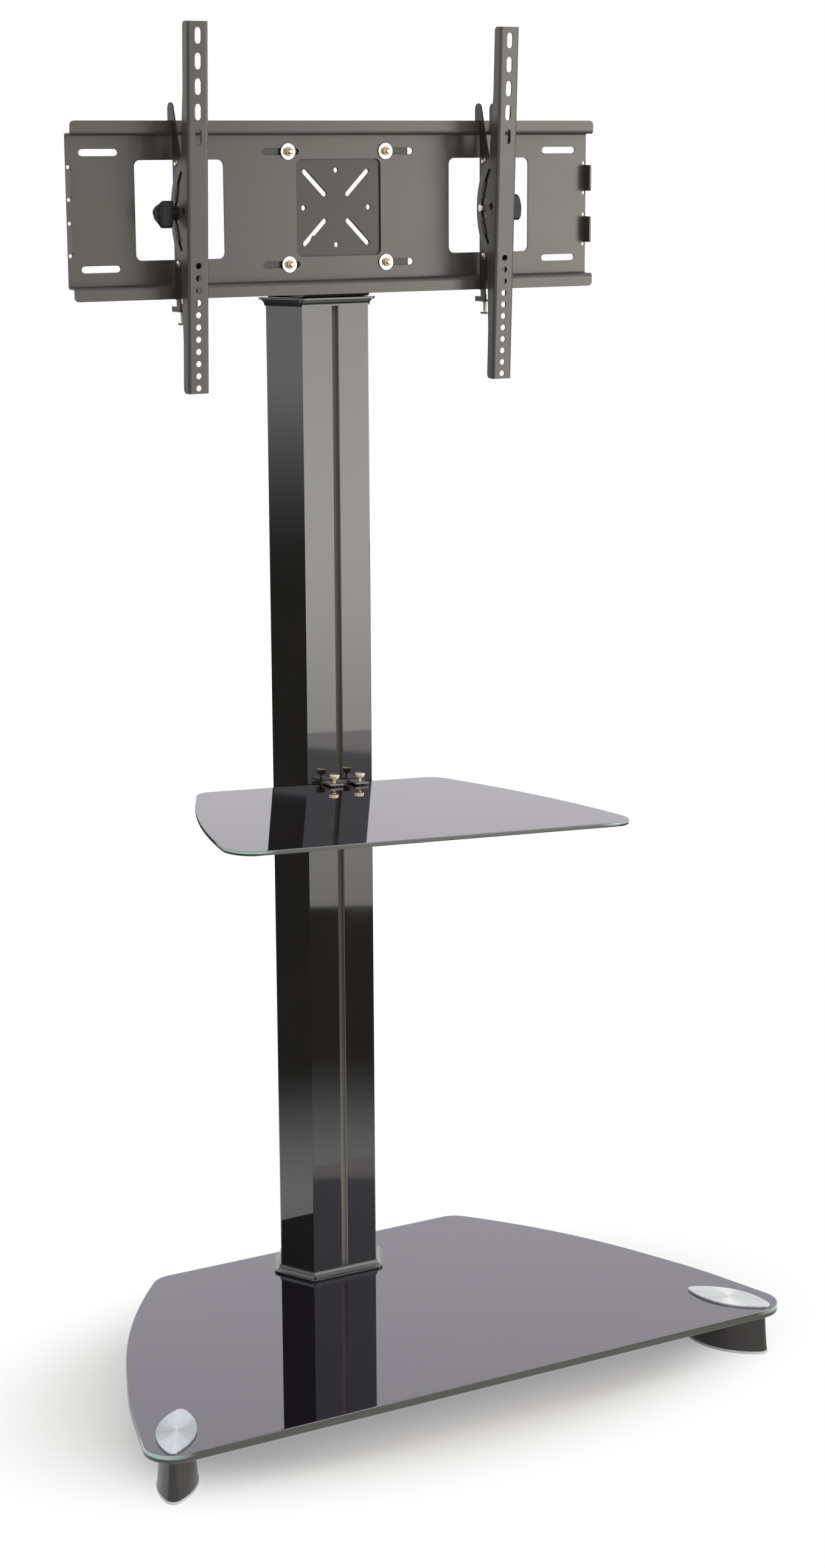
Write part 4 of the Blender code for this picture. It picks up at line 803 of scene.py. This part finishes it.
@dataclass
class FrontCorner:
    """Cap, gasket, foot and glide of a front corner: lenses that lie askew across it."""

    x: float = 0.4418
    y: float = -0.361
    turn_deg: float = 30.0
    length: float = 0.116
    width: float = 0.047
    tip: float = 0.007
    flare: float = 0.0035
    flare_power: float = 1.6
    foot_ease: float = 0.0006
    cap_length: float = 0.129
    cap_width: float = 0.054
    cap_edge: float = 0.0009

    def lens(self, side: Sign, length: float, width: float, tip: float) -> Outline:
        """An outline at the corner, turned so that it points outwards at the front."""
        return Outline.lens(length, width, tip, (side.value * self.x, self.y), side.value * self.turn_deg)

    def build(self, stand: Stand) -> None:
        """Makes both corners' pieces at their nodes' heights."""
        moulded = (("foot_pad", self.flare + 0.001, 0.0012), ("foot_gasket", 0.0005, 0.0008))
        for side in Sign:
            foot = self.lens(side, self.length, self.width, self.tip)
            for kind, grow, arris in moulded:
                node = f"{kind}_{side.label}"
                low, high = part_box(node)
                out, height = slab_profile(low.z, high.z, arris)
                stand.make(node, f"{node}_moulding", "pale_moulding", foot.rings(out + grow, height))
            self.build_foot(stand, side, foot)
            self.build_cap(stand, side)

    def build_foot(self, stand: Stand, side: Sign, outline: Outline) -> None:
        """The foot: its outline grows towards the floor by the flare times a power of the fall."""
        node = f"front_foot_{side.label}"
        low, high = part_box(node)
        fall, ease = np.linspace(1, 0, 12), self.foot_ease
        out = self.flare * fall**self.flare_power
        height = low.z + ease + (high.z - low.z - ease) * (1 - fall)
        out, height = np.append(self.flare - ease, out), np.append(low.z, height)
        stand.make(node, f"{node}_body", "foot_satin", outline.rings(out, height))

    def build_cap(self, stand: Stand, side: Sign) -> None:
        """The cap: an upright wall, a rolled rim and a flat top."""
        node = f"foot_cap_{side.label}"
        low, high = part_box(node)
        edge = self.cap_edge
        rim = arc_rows((-edge, high.z - edge), edge, 0, 90, 6)
        rows = np.array([(0.0, low.z), *rim, (-edge * 2.2, high.z - 0.0002)])
        outline = self.lens(side, self.cap_length, self.cap_width, self.tip + 0.001)
        rings = outline.rings(rows[:, 0], rows[:, 1])
        stand.make(node, f"{node}_plate", f"spun_{side.label}", rings, sharp_deg=50)


@dataclass
class PlateFasteners:
    """The four bolts through head bracket and wall plate, each with its washer and nut."""

    shank: float = 0.003
    flats: float = 0.010
    head: float = 0.004
    nut_flats: float = 0.0105
    washer: float = 0.011
    bore: float = 0.0033
    pitch: float = 0.0008

    def build(self, stand: Stand) -> None:
        """Makes the twelve pieces."""
        lathe = Lathe(48)
        for number in range(1, 5):
            node = f"plate_bolt_{number}"
            x, _, z = stand.centre(node)
            low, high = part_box(node)
            rings, place = self.bolt(lathe, high.y - low.y), Place.facing((x, high.y, z), -1)
            stand.make(node, f"hex_bolt_{number}", "zinc_plate", rings, place)
            washer, nut = self.ring(lathe), self.nut(lathe, f"plate_nut_{number}")
            sections = (("washer", "round", washer, "cream_zinc"), ("nut", "hex", nut, "gold_zinc"))
            for kind, shape, rings, finish in sections:
                node = f"plate_{kind}_{number}"
                place = Place.facing((x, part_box(node)[1].y, z), -1)
                stand.make(node, f"{shape}_{kind}_{number}", finish, rings, place, loop=True)

    def bolt(self, lathe: Lathe, length: float) -> Array:
        """Chamfered hexagon head, shank, thread and a chamfered tip."""
        flats = lathe.hexagon(self.flats)
        rows = [(self.flats * 0.47, 0), (np.minimum(flats, self.flats * 0.53), 0.0005), (flats, 0.0012)]
        rows += [(flats, self.head), (self.shank, self.head), (self.shank, self.head + 0.004)]
        thread = lathe.thread(self.shank, self.pitch, self.head + 0.005, length - 0.0004)
        tip = lathe.rings([(self.shank * 0.72, length)])
        return np.concatenate([lathe.rings(rows), thread, tip])

    def ring(self, lathe: Lathe) -> Array:
        """The washer's section: a flat ring with eased edges."""
        low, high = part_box("plate_washer_1")
        deep, ease = high.y - low.y, 0.0004
        rows = [(self.bore, 0), *arc_rows((self.washer - ease, ease), ease, -90, 0, 3)]
        rows += arc_rows((self.washer - ease, deep - ease), ease, 0, 90, 3)
        rows += [(self.bore + 0.0003, deep), (self.bore, deep - 0.0003)]
        return lathe.rings(rows)

    def nut(self, lathe: Lathe, node: str) -> Array:
        """The nut's section: hexagon flats, cut back at both ends by a cone, round a bore."""
        low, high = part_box(node)
        deep, flats = high.y - low.y, lathe.hexagon(self.nut_flats)
        round_end, cone = self.nut_flats * 0.475, np.minimum(flats, self.nut_flats * 0.53)
        rows = [(self.bore, 0), (round_end, 0), (cone, 0.0005), (flats, 0.0011), (flats, deep - 0.0011)]
        rows += [(cone, deep - 0.0005), (round_end, deep)]
        rows += [(self.bore + 0.0005, deep), (self.bore, deep - 0.0005)]
        return lathe.rings(rows)


@dataclass
class HookHardware:
    """Rivets, tilt bolts, knobs and safety screws of the two hook brackets."""

    rivet_head: float = 0.005
    rivet_shank: float = 0.0025
    rivet_rise: float = 0.0016
    seat: float = 0.0130
    knob_boss: float = 0.00875
    knob_boss_long: float = 0.0080
    knob_flat: float = 0.0118
    knob_corner: float = 0.0195
    bolt_flats: float = 0.010
    bolt_head: float = 0.004
    bolt_shank: float = 0.003
    safety_head: float = 0.0035
    safety_thread: float = 0.0028

    def build(self, stand: Stand) -> None:
        """Makes both sides' pieces."""
        for side in Sign:
            for end in ("top", "bottom"):
                node = f"spacer_rivet_{side.label}_{end}"
                place = Place.across(stand.centre(node), 1)
                stand.make(node, f"{node}_domed", "brass_plate", self.rivet(Lathe(40)), place)
            axis = stand.joints[f"knob_turn_{side.label}"]["pos_m"]
            self.build_knob(stand, side, axis)
            self.build_tilt_bolt(stand, side, axis)
            self.build_safety_screw(stand, side)

    def rivet(self, lathe: Lathe) -> Array:
        """A low dome at both ends of a shank: head radius times the cosine, rise times the sine."""
        turn = np.radians(np.linspace(84, 0, 8))
        dome = [(self.rivet_head * math.cos(a), self.seat + self.rivet_rise * math.sin(a)) for a in turn]
        shank = [(self.rivet_shank, -self.seat), (self.rivet_shank, self.seat)]
        return lathe.rings([(r, -z) for r, z in dome] + shank + dome[::-1])

    def build_knob(self, stand: Stand, side: Sign, axis: Point) -> None:
        """A round boss, then a three-sided grip that narrows outwards to a round end with a raised rim."""
        node = f"tilt_knob_{side.label}"
        low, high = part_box(node)
        lathe = Lathe(96)
        boss, step, long = self.knob_boss, self.knob_boss_long, high.x - low.x
        full = lathe.three_flats(self.knob_flat, self.knob_corner)
        share = np.array([0.90, 1.0, 1.0, 0.85, 0.45, 0.26])
        along = np.array([0.0, 0.05, 0.70, 0.80, 0.93, 0.96])
        crown = boss * 0.86
        base = np.minimum(full, boss)
        body = base[None] + (full - base)[None] * share[:, None]
        rows = [(boss - 0.0004, 0.0), (boss, 0.0004), (boss, step - 0.0008)]
        rows += [(radius, step + (long - step) * at) for radius, at in zip(body, along)]
        rows += [(crown, long - 0.0011), (crown, long - 0.0003), (crown - 0.0004, long)]
        rows += [(crown - 0.0012, long), (crown - 0.0015, long - 0.0006), (0.0012, long - 0.0006)]
        place = Place.across(axis, side.value)
        stand.make(node, f"{node}_lobes", "knob_moulding", lathe.rings(rows), place, sharp_deg=42)

    def build_tilt_bolt(self, stand: Stand, side: Sign, axis: Point) -> None:
        """Hexagon head on the arm's inner face, and a shank that ends inside the knob."""
        node = f"tilt_bolt_{side.label}"
        low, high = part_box(node)
        start = low.x if side is Sign.RIGHT else high.x
        lathe, flats = Lathe(48), Lathe(48).hexagon(self.bolt_flats)
        long, head, shank = high.x - low.x, self.bolt_head, self.bolt_shank
        rows = [(0.0047, 0), (np.minimum(flats, 0.0053), 0.0005), (flats, 0.0012), (flats, head)]
        rows += [(shank, head), (shank, long - 0.0006), (shank - 0.0006, long)]
        place = Place.across((start, axis[1], axis[2]), side.value)
        stand.make(node, f"{node}_hex", "zinc_plate", lathe.rings(rows), place)

    def build_safety_screw(self, stand: Stand, side: Sign) -> None:
        """A wide low head below, and a thread that rises behind the plate's lower lip."""
        node = f"safety_screw_{side.label}"
        low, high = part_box(node)
        x, y, _ = stand.centre(node)
        tall, head, radius = high.z - low.z, self.safety_head, self.safety_thread
        lathe = Lathe(40)
        rows = [(0.0026, 0.0), (0.0044, 0.0004), (0.0058, 0.0011), (0.0064, 0.0020)]
        rows += [(0.0065, head - 0.0003), (0.0063, head), (radius, head)]
        thread = lathe.thread(radius, 0.0008, head + 0.0004, tall - 0.0005)
        rings = np.concatenate([lathe.rings(rows), thread, lathe.rings([(0.0018, tall)])])
        stand.make(node, f"{node}_thread", "zinc_plate", rings, Place((x, y, low.z)))


@dataclass
class ShelfHardware:
    """The two knurled thumb screws, the button-head slide bolt and the head bracket's socket screws."""

    thumb_y: float = -0.0203
    thumb_radius: float = 0.0023
    head_radius: float = 0.007
    head_low: float = 0.0108
    head_high: float = 0.017
    screw_radius: float = 0.003
    screw_pitch: float = 0.001
    slide_head: float = 0.0033
    slide_flats: float = 0.004
    socket_head: float = 0.0036
    socket_flats: float = 0.005

    def build(self, stand: Stand, shelf: Place, pitch: float) -> None:
        """Makes all seven pieces.

        Args:
            stand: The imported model.
            shelf: The shelf's own frame, with its origin on the column's face.
            pitch: The distance between the thumb screws.
        """
        for side in Sign:
            origin = shelf.apply(np.array([side.value * pitch / 2, self.thumb_y, 0.0]))
            rings, place = self.thumb_screw(Lathe(96)), Place(tuple(origin), shelf.axes)
            label = side.label
            stand.make(f"shelf_screw_{label}", f"thumb_screw_{label}", "brass_plate", rings, place)
        self.build_slide_bolt(stand)
        for number in range(1, 5):
            self.build_socket_screw(stand, f"head_screw_{number}")

    def thumb_screw(self, lathe: Lathe) -> Array:
        """Tip, thread, shoulder and a knurled, slightly dished head."""
        low, high = self.head_low, self.head_high
        thread = lathe.thread(self.thumb_radius, 0.0007, 0.0008, low - 0.0014)
        knurl = lathe.knurled(self.head_radius, 32, 0.0005)
        plain = self.head_radius - 0.0006
        rows = [(0.0040, low - 0.0014), (0.0042, low - 0.0012), (0.0042, low), (plain - 0.0004, low)]
        rows += [(plain, low + 0.0003), (knurl, low + 0.0008)]
        rows += [(knurl, high - 0.0008), (plain, high - 0.0003)]
        rows += [(plain - 0.0005, high), (plain - 0.0015, high - 0.0003), (0.002, high - 0.0004)]
        return np.concatenate([lathe.rings([(0.0014, 0.0003)]), thread, lathe.rings(rows)])

    def screw(self, lathe: Lathe, tip: float, seat: float, head: list[Any]) -> Array:
        """A blunt tip, a thread up to the seat, and the head's rows."""
        thread = lathe.thread(self.screw_radius, self.screw_pitch, 0.0004, seat)
        return np.concatenate([lathe.rings([(tip, 0.0)]), thread, lathe.rings(head)])

    def build_slide_bolt(self, stand: Stand) -> None:
        """A thread into the T-nut, a domed head in front and a hexagon socket in it."""
        node = "shelf_slide_bolt"
        low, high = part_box(node)
        x, _, z = stand.centre(node)
        lathe, socket = Lathe(48), Lathe(48).hexagon(self.slide_flats)
        tall, head = high.y - low.y, self.slide_head
        seat = tall - head
        radii, edge, ball = (0.0057, 0.0052, 0.0045, 0.0036, 0.0028), 0.0006, 0.0062
        dome = [(r, seat + edge + (head - edge) * math.sqrt(1 - (r / ball) ** 2)) for r in radii]
        rows = [(radii[0], seat), *dome, (socket, tall - 0.0003), (socket, tall - 0.0018)]
        rings, place = self.screw(lathe, 0.0024, seat, rows), Place.facing((x, high.y, z), -1)
        stand.make(node, f"{node}_button", "zinc_plate", rings, place)

    def build_socket_screw(self, stand: Stand, node: str) -> None:
        """A thread down into the column's port, and a round head with a hexagon socket on top."""
        low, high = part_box(node)
        x, y, _ = stand.centre(node)
        lathe, socket = Lathe(48), Lathe(48).hexagon(self.socket_flats)
        tall, head = high.z - low.z, self.socket_head
        seat = tall - head
        rows = [(0.0058, seat), (0.006, seat + 0.0002), (0.006, tall - 0.0005), (0.0056, tall)]
        rows += [(0.0032, tall), (socket, tall - 0.0002), (socket, tall - 0.0022)]
        rings = self.screw(lathe, 0.0022, seat, rows)
        stand.make(node, f"{node}_socket", "zinc_plate", rings, Place((x, y, low.z)))


# Studio


@dataclass
class Studio:
    """A pale floor, an even white room, two soft boxes, a carpet and two drapes for reflections, a camera.

    A drape is its name, place in X and two heights. A soft box is its name, the middles of its lower and
    upper edges, half its width and its radiance.
    """

    eye: Point = (-1.8234, -3.4751, 1.7105)
    yaw_deg: float = -29.204
    pitch_deg: float = 12.778
    roll_deg: float = -0.286
    focal_px: float = 4605.3
    image_height_px: float = 2576.0
    sensor_mm: float = 36.0
    floor_half: float = 40.0
    floor_drop: float = 0.0003
    floor_colour: Colour = (0.97, 0.955, 0.935)
    shade_middle: float = -0.15
    shade_half: tuple[float, float] = (0.55, 0.34)
    shade_edge: tuple[float, float] = (0.8, 1.3)
    near_glow: float = 0.25
    fill: float = 0.84
    box_dim: Colour = (0.45, 0.44, 0.42)
    box_bright: Colour = (1.0, 0.975, 0.93)
    carpet_colour: Colour = (0.09, 0.086, 0.08)
    drape_colour: Colour = (0.22, 0.21, 0.20)
    carpet_half: float = 20.0
    carpet_rise: tuple[float, float] = (0.58, 1.28)
    carpet_fall: tuple[float, float] = (7.0, 18.0)
    drape_y: tuple[float, float] = (-1.5, 3.0)
    drapes: tuple[tuple[str, float, float, float], ...] = (
        ("drape_near", -3.0, 1.38, 1.9),
        ("drape_far", -6.0, 2.25, 3.2),
    )
    soft_boxes: tuple[tuple[str, Point, Point, float, float], ...] = (
        ("soft_box_low", (1.09, -2.08, 0.0), (1.835, -3.498, 1.42), 0.6, 2.95),
        ("soft_box_high", (2.75, -3.1, 0.6), (2.75, -3.1, 2.6), 0.8, 6.2),
    )

    def build(self) -> None:
        """Makes the whole studio."""
        bpy.context.scene.view_settings.view_transform = "Standard"
        self.make_camera()
        self.make_floor()
        self.make_carpet()
        for drape in self.drapes:
            self.make_drape(*drape)
        for box in self.soft_boxes:
            self.make_soft_box(*box)
        self.make_world()

    def make_camera(self) -> None:
        """A camera with the photograph's place, direction and angle of view."""
        yaw, pitch, roll = (math.radians(a) for a in (self.yaw_deg, self.pitch_deg, self.roll_deg))
        level = math.cos(pitch)
        forward = Vector((-math.sin(yaw) * level, math.cos(yaw) * level, -math.sin(pitch)))
        flat = Vector((math.cos(yaw), math.sin(yaw), 0.0))
        above = flat.cross(forward)
        right = flat * math.cos(roll) + above * math.sin(roll)
        up = above * math.cos(roll) - flat * math.sin(roll)
        data = bpy.data.cameras.new("camera")
        data.sensor_width = self.sensor_mm
        data.lens = self.focal_px / self.image_height_px * self.sensor_mm
        data.clip_end = 300.0
        camera = bpy.data.objects.new("camera", data)
        turned = Matrix((right, up, -forward)).transposed().to_4x4()
        camera.matrix_world = Matrix.Translation(self.eye) @ turned
        bpy.context.scene.collection.objects.link(camera)
        bpy.context.scene.camera = camera

    def make_card(self, name: str, corners: Sequence[Point]) -> tuple[bpy.types.Object, Book]:
        """A flat staged card, and the empty node tree of its material."""
        mesh = bpy.data.meshes.new(name)
        mesh.from_pydata([tuple(corner) for corner in corners], [], [(0, 1, 2, 3)])
        card = bpy.data.objects.new(name, mesh)
        bpy.context.scene.collection.objects.link(card)
        made = bpy.data.materials.new(f"{name}_look")
        made.use_nodes = True
        mesh.materials.append(made)
        return card, Book(made.node_tree)

    def only_reflect(self, card: bpy.types.Object) -> None:
        """Hides a card from all rays but glossy ones, so that it takes no light from anything."""
        card.visible_camera = card.visible_diffuse = card.visible_shadow = card.visible_transmission = False

    def level_square(self, half: float, height: float) -> list[Point]:
        """The corners of a level square round the stand."""
        return [(-half, -half, height), (half, -half, height), (half, half, height), (-half, half, height)]

    def make_floor(self) -> None:
        """Pale paper that keeps the shadow, and that turns into the white background far away."""
        _, book = self.make_card("floor", self.level_square(self.floor_half, -self.floor_drop))
        paper = book.node("ShaderNodeBsdfDiffuse", {}, {"Color": self.floor_colour})
        glow = book.node("ShaderNodeEmission", {}, {"Color": (1.0, 1.0, 1.0), "Strength": 1.0})
        x, y, _ = book.split(book.place())
        across, ahead = x / self.shade_half[0], (y - self.shade_middle) / self.shade_half[1]
        outside = ((across * across + ahead * ahead) ** 0.5).rise(*self.shade_edge)
        share = (outside * (1 - self.near_glow) + self.near_glow) * self.seen(book)
        mixed = book.node("ShaderNodeMixShader", {}, {0: share, 1: paper, 2: glow})
        book.end(mixed, "ShaderNodeOutputMaterial")

    def make_carpet(self) -> None:
        """A dark ring round the paper, which only reflections show."""
        card, book = self.make_card("carpet", self.level_square(self.carpet_half, 0.0))
        black = book.node("ShaderNodeBsdfDiffuse", {}, {"Color": self.carpet_colour})
        clear = book.node("ShaderNodeBsdfTransparent", {}, {})
        reach = self.reach(book)
        share = reach.rise(*self.carpet_rise) * (1 - reach.rise(*self.carpet_fall))
        mixed = book.node("ShaderNodeMixShader", {}, {0: share, 1: clear, 2: black})
        book.end(mixed, "ShaderNodeOutputMaterial")
        self.only_reflect(card)

    def make_drape(self, name: str, x: float, low: float, high: float) -> None:
        """A dark drape that hangs on the left between two heights, and which only reflections show."""
        front, back = self.drape_y
        corners = [(x, front, low), (x, back, low), (x, back, high), (x, front, high)]
        card, book = self.make_card(name, corners)
        cloth = book.node("ShaderNodeBsdfDiffuse", {}, {"Color": self.drape_colour})
        book.end(cloth, "ShaderNodeOutputMaterial")
        self.only_reflect(card)

    def make_soft_box(self, name: str, low: Point, high: Point, half: float, radiance: float) -> None:
        """A soft box, dimmer near the floor, which the camera doesn't show."""
        low, high = np.array(low), np.array(high)
        along = np.array([-high[1], high[0], 0.0]) / np.linalg.norm(high[:2]) * half
        card, book = self.make_card(name, [low - along, low + along, high + along, high - along])
        _, _, height = book.split(book.place())
        share = height.rise(-0.1, 0.75) - height.rise(0.8, 1.4) * 0.2
        colour = book.mix(share, self.box_dim, self.box_bright)
        inputs = {"Color": colour, "Strength": radiance}
        book.end(book.node("ShaderNodeEmission", {}, inputs), "ShaderNodeOutputMaterial")
        card.visible_camera = False

    def reach(self, book: Book) -> Wire:
        """The distance from the column, level with the floor."""
        x, y, _ = book.split(book.place())
        return (x * x + y * y) ** 0.5

    def seen(self, book: Book) -> Wire:
        """1 for rays from the camera, from gloss and through glass, and 0 for light that falls on things."""
        rays = ("Is Camera Ray", "Is Glossy Ray", "Is Transmission Ray")
        camera, glossy, through = (book.node("ShaderNodeLightPath", {}, {}, ray) for ray in rays)
        return camera.highest(glossy).highest(through)

    def make_world(self) -> None:
        """White where it is seen, and a plain even fill where it lights."""
        world = bpy.data.worlds.new("studio")
        bpy.context.scene.world = world
        world.use_nodes = True
        book = Book(world.node_tree)
        strength = self.seen(book) * (1.0 - self.fill) + self.fill
        inputs = {"Color": (1.0, 1.0, 1.0), "Strength": strength}
        book.end(book.node("ShaderNodeBackground", {}, inputs), "ShaderNodeOutputWorld")


def finishes(stand: Stand, shelf: Place, base: GlassSheet, sheet: GlassSheet) -> None:
    """Builds every finish of the stand."""
    bracket = (0.060, 0.054, 0.046)
    stand.add(PowderCoat("bracket_coat", bracket, 0.34, 0.2, specular=0.8))
    # Painted shade: the head bracket takes the bracket coat at three quarters of its colour, for the shade
    # it lies in behind the wall plate.
    stand.add(PowderCoat("head_coat", scaled(bracket, 0.75), 0.40, 0.2, specular=0.6))
    stand.add(PowderCoat("clamp_coat", (0.22, 0.21, 0.19), 0.28, 0.4, coat=0.5))
    for side in Sign:
        axis = stand.joints[f"arm_tilt_{side.label}"]["pos_m"]
        # Painted shade: the hook brackets take the arms' coat at half its colour, a darker copy for how the
        # light falls on them.
        hook = scaled(bracket, 0.5)
        guides = {"middle": axis[0], "axis": (axis[1], axis[2])}
        stand.add(HookCoat(f"hook_coat_{side.label}", hook, 0.34, 0.2, **guides))
        cap = stand.centre(f"foot_cap_{side.label}")
        # Painted light and shade: both caps are the same spun aluminium, drawn darker on the left and
        # lighter on the right for how the light falls on each.
        cap_lit_colour, metallic = ((0.60, 0.64, 0.675), 0.7) if side is Sign.LEFT else ((0.88, 0.92, 0.96), 0.5)
        stand.add(SpunMetal(f"spun_{side.label}", cap_lit_colour, 0.3, metallic, middle=(cap[0], cap[1])))
    stand.add(ColumnCoat("column_gloss", (0.008, 0.0075, 0.007), 0.03, coat=1.0, specular=0.8))
    stand.add(GlossCoat("collar_gloss", (0.014, 0.0135, 0.013), 0.04, coat=1.0, specular=0.8))
    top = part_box("base_glass")[1].z
    corner = (base.front_half - base.corner, base.front_y + base.corner)
    glass = (0.004, 0.003, 0.006)
    clear = {"specular": 0.9, "tint": (0.92, 0.85, 1.0)}
    stand.add(
        SheetGlass(
            "base_sheet", glass, 0.012, coat=1.0, **clear,
            low=top - base.thickness, thickness=base.thickness, corner=corner, shift=BASE_SHIFT,
        )
    )
    normal = shelf.axes[2]
    level = float(np.dot(shelf.origin, normal)) - sheet.thickness
    corner = (sheet.front_half - sheet.corner, sheet.front_y + sheet.corner)
    stand.add(
        SheetGlass(
            "shelf_sheet", glass, 0.012, coat=0.5, **clear,
            normal=normal, low=level, thickness=sheet.thickness, corner=corner, shift=SHELF_SHIFT,
        )
    )
    stand.add(PlatedMetal("zinc_plate", (0.76, 0.75, 0.71), 0.28, 1.0))
    stand.add(PlatedMetal("cream_zinc", (0.88, 0.86, 0.80), 0.34, 1.0))
    stand.add(PlatedMetal("gold_zinc", (0.50, 0.37, 0.20), 0.24, 1.0))
    stand.add(PlatedMetal("brass_plate", (0.82, 0.76, 0.60), 0.26, 1.0))
    stand.add(Moulded("knob_moulding", (0.018, 0.017, 0.016), 0.42, specular=0.35))
    stand.add(Moulded("foot_satin", (0.026, 0.023, 0.021), 0.24))
    stand.add(Moulded("pale_moulding", (0.66, 0.70, 0.68), 0.45))
    stand.add(Moulded("rubber_black", (0.02, 0.02, 0.02), 0.8, grain=900.0))


KEPT = {
    "bracket_coat": ("wall_plate", "arm_left", "arm_right"),
    "head_coat": ("head_bracket",),
    "clamp_coat": ("shelf_bracket",),
    "hook_coat_left": ("hook_bracket_left",),
    "hook_coat_right": ("hook_bracket_right",),
    "column_gloss": ("column",),
    "foot_satin": ("rear_foot",),
    "pale_moulding": ("rear_foot_pad",),
    "rubber_black": ("shelf_pad_left", "shelf_pad_right"),
    "zinc_plate": (
        "foot_stud_left", "foot_stud_right", "shelf_slide_nut",
        *(f"column_bolt_{number}" for number in range(1, 5)),
    ),
}


def main() -> None:
    """Loads the frame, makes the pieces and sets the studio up."""
    logging.basicConfig(level=logging.INFO, format="%(name)s: %(message)s")
    for leftover in list(bpy.data.objects):
        bpy.data.objects.remove(leftover, do_unlink=True)
    stand = Stand(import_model())
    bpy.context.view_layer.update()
    base = GlassSheet(
        node="base_glass", front_half=0.512, back_half=0.2546, front_y=-0.424, back_y=0.125,
        bends=((0.30, 0.052, 1.35), (0.71, 0.074, 1.55)), corner=0.040, thickness=0.012, arris=0.0014,
    )
    sheet = GlassSheet(
        node="shelf_glass", front_half=0.3134, back_half=0.192, front_y=-0.3641, back_y=-0.0031,
        bends=((0.5, 0.072, 2.5),), corner=0.034, thickness=0.006, arris=0.0012,
    )
    roll = stand.joints["shelf_screw_lift_left"]["axis"]
    shelf = Place.rolled((0.0, 0.0, SHELF_LEVEL), tuple(roll))
    finishes(stand, shelf, base, sheet)
    base.build(stand, Place((BASE_SHIFT, 0.0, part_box("base_glass")[1].z)), "base_sheet")
    origin = shelf.apply(np.array([SHELF_SHIFT, 0.0, 0.0]))
    sheet.build(stand, Place(tuple(origin), shelf.axes), "shelf_sheet")
    for part in (Collar(), FrontCorner(), PlateFasteners(), HookHardware()):
        part.build(stand)
    ShelfHardware().build(stand, shelf, THUMB_PITCH)
    for finish, nodes in KEPT.items():
        for node in nodes:
            stand.dress(node, finish)
    Studio().build()


if __name__ == "__main__":
    main()
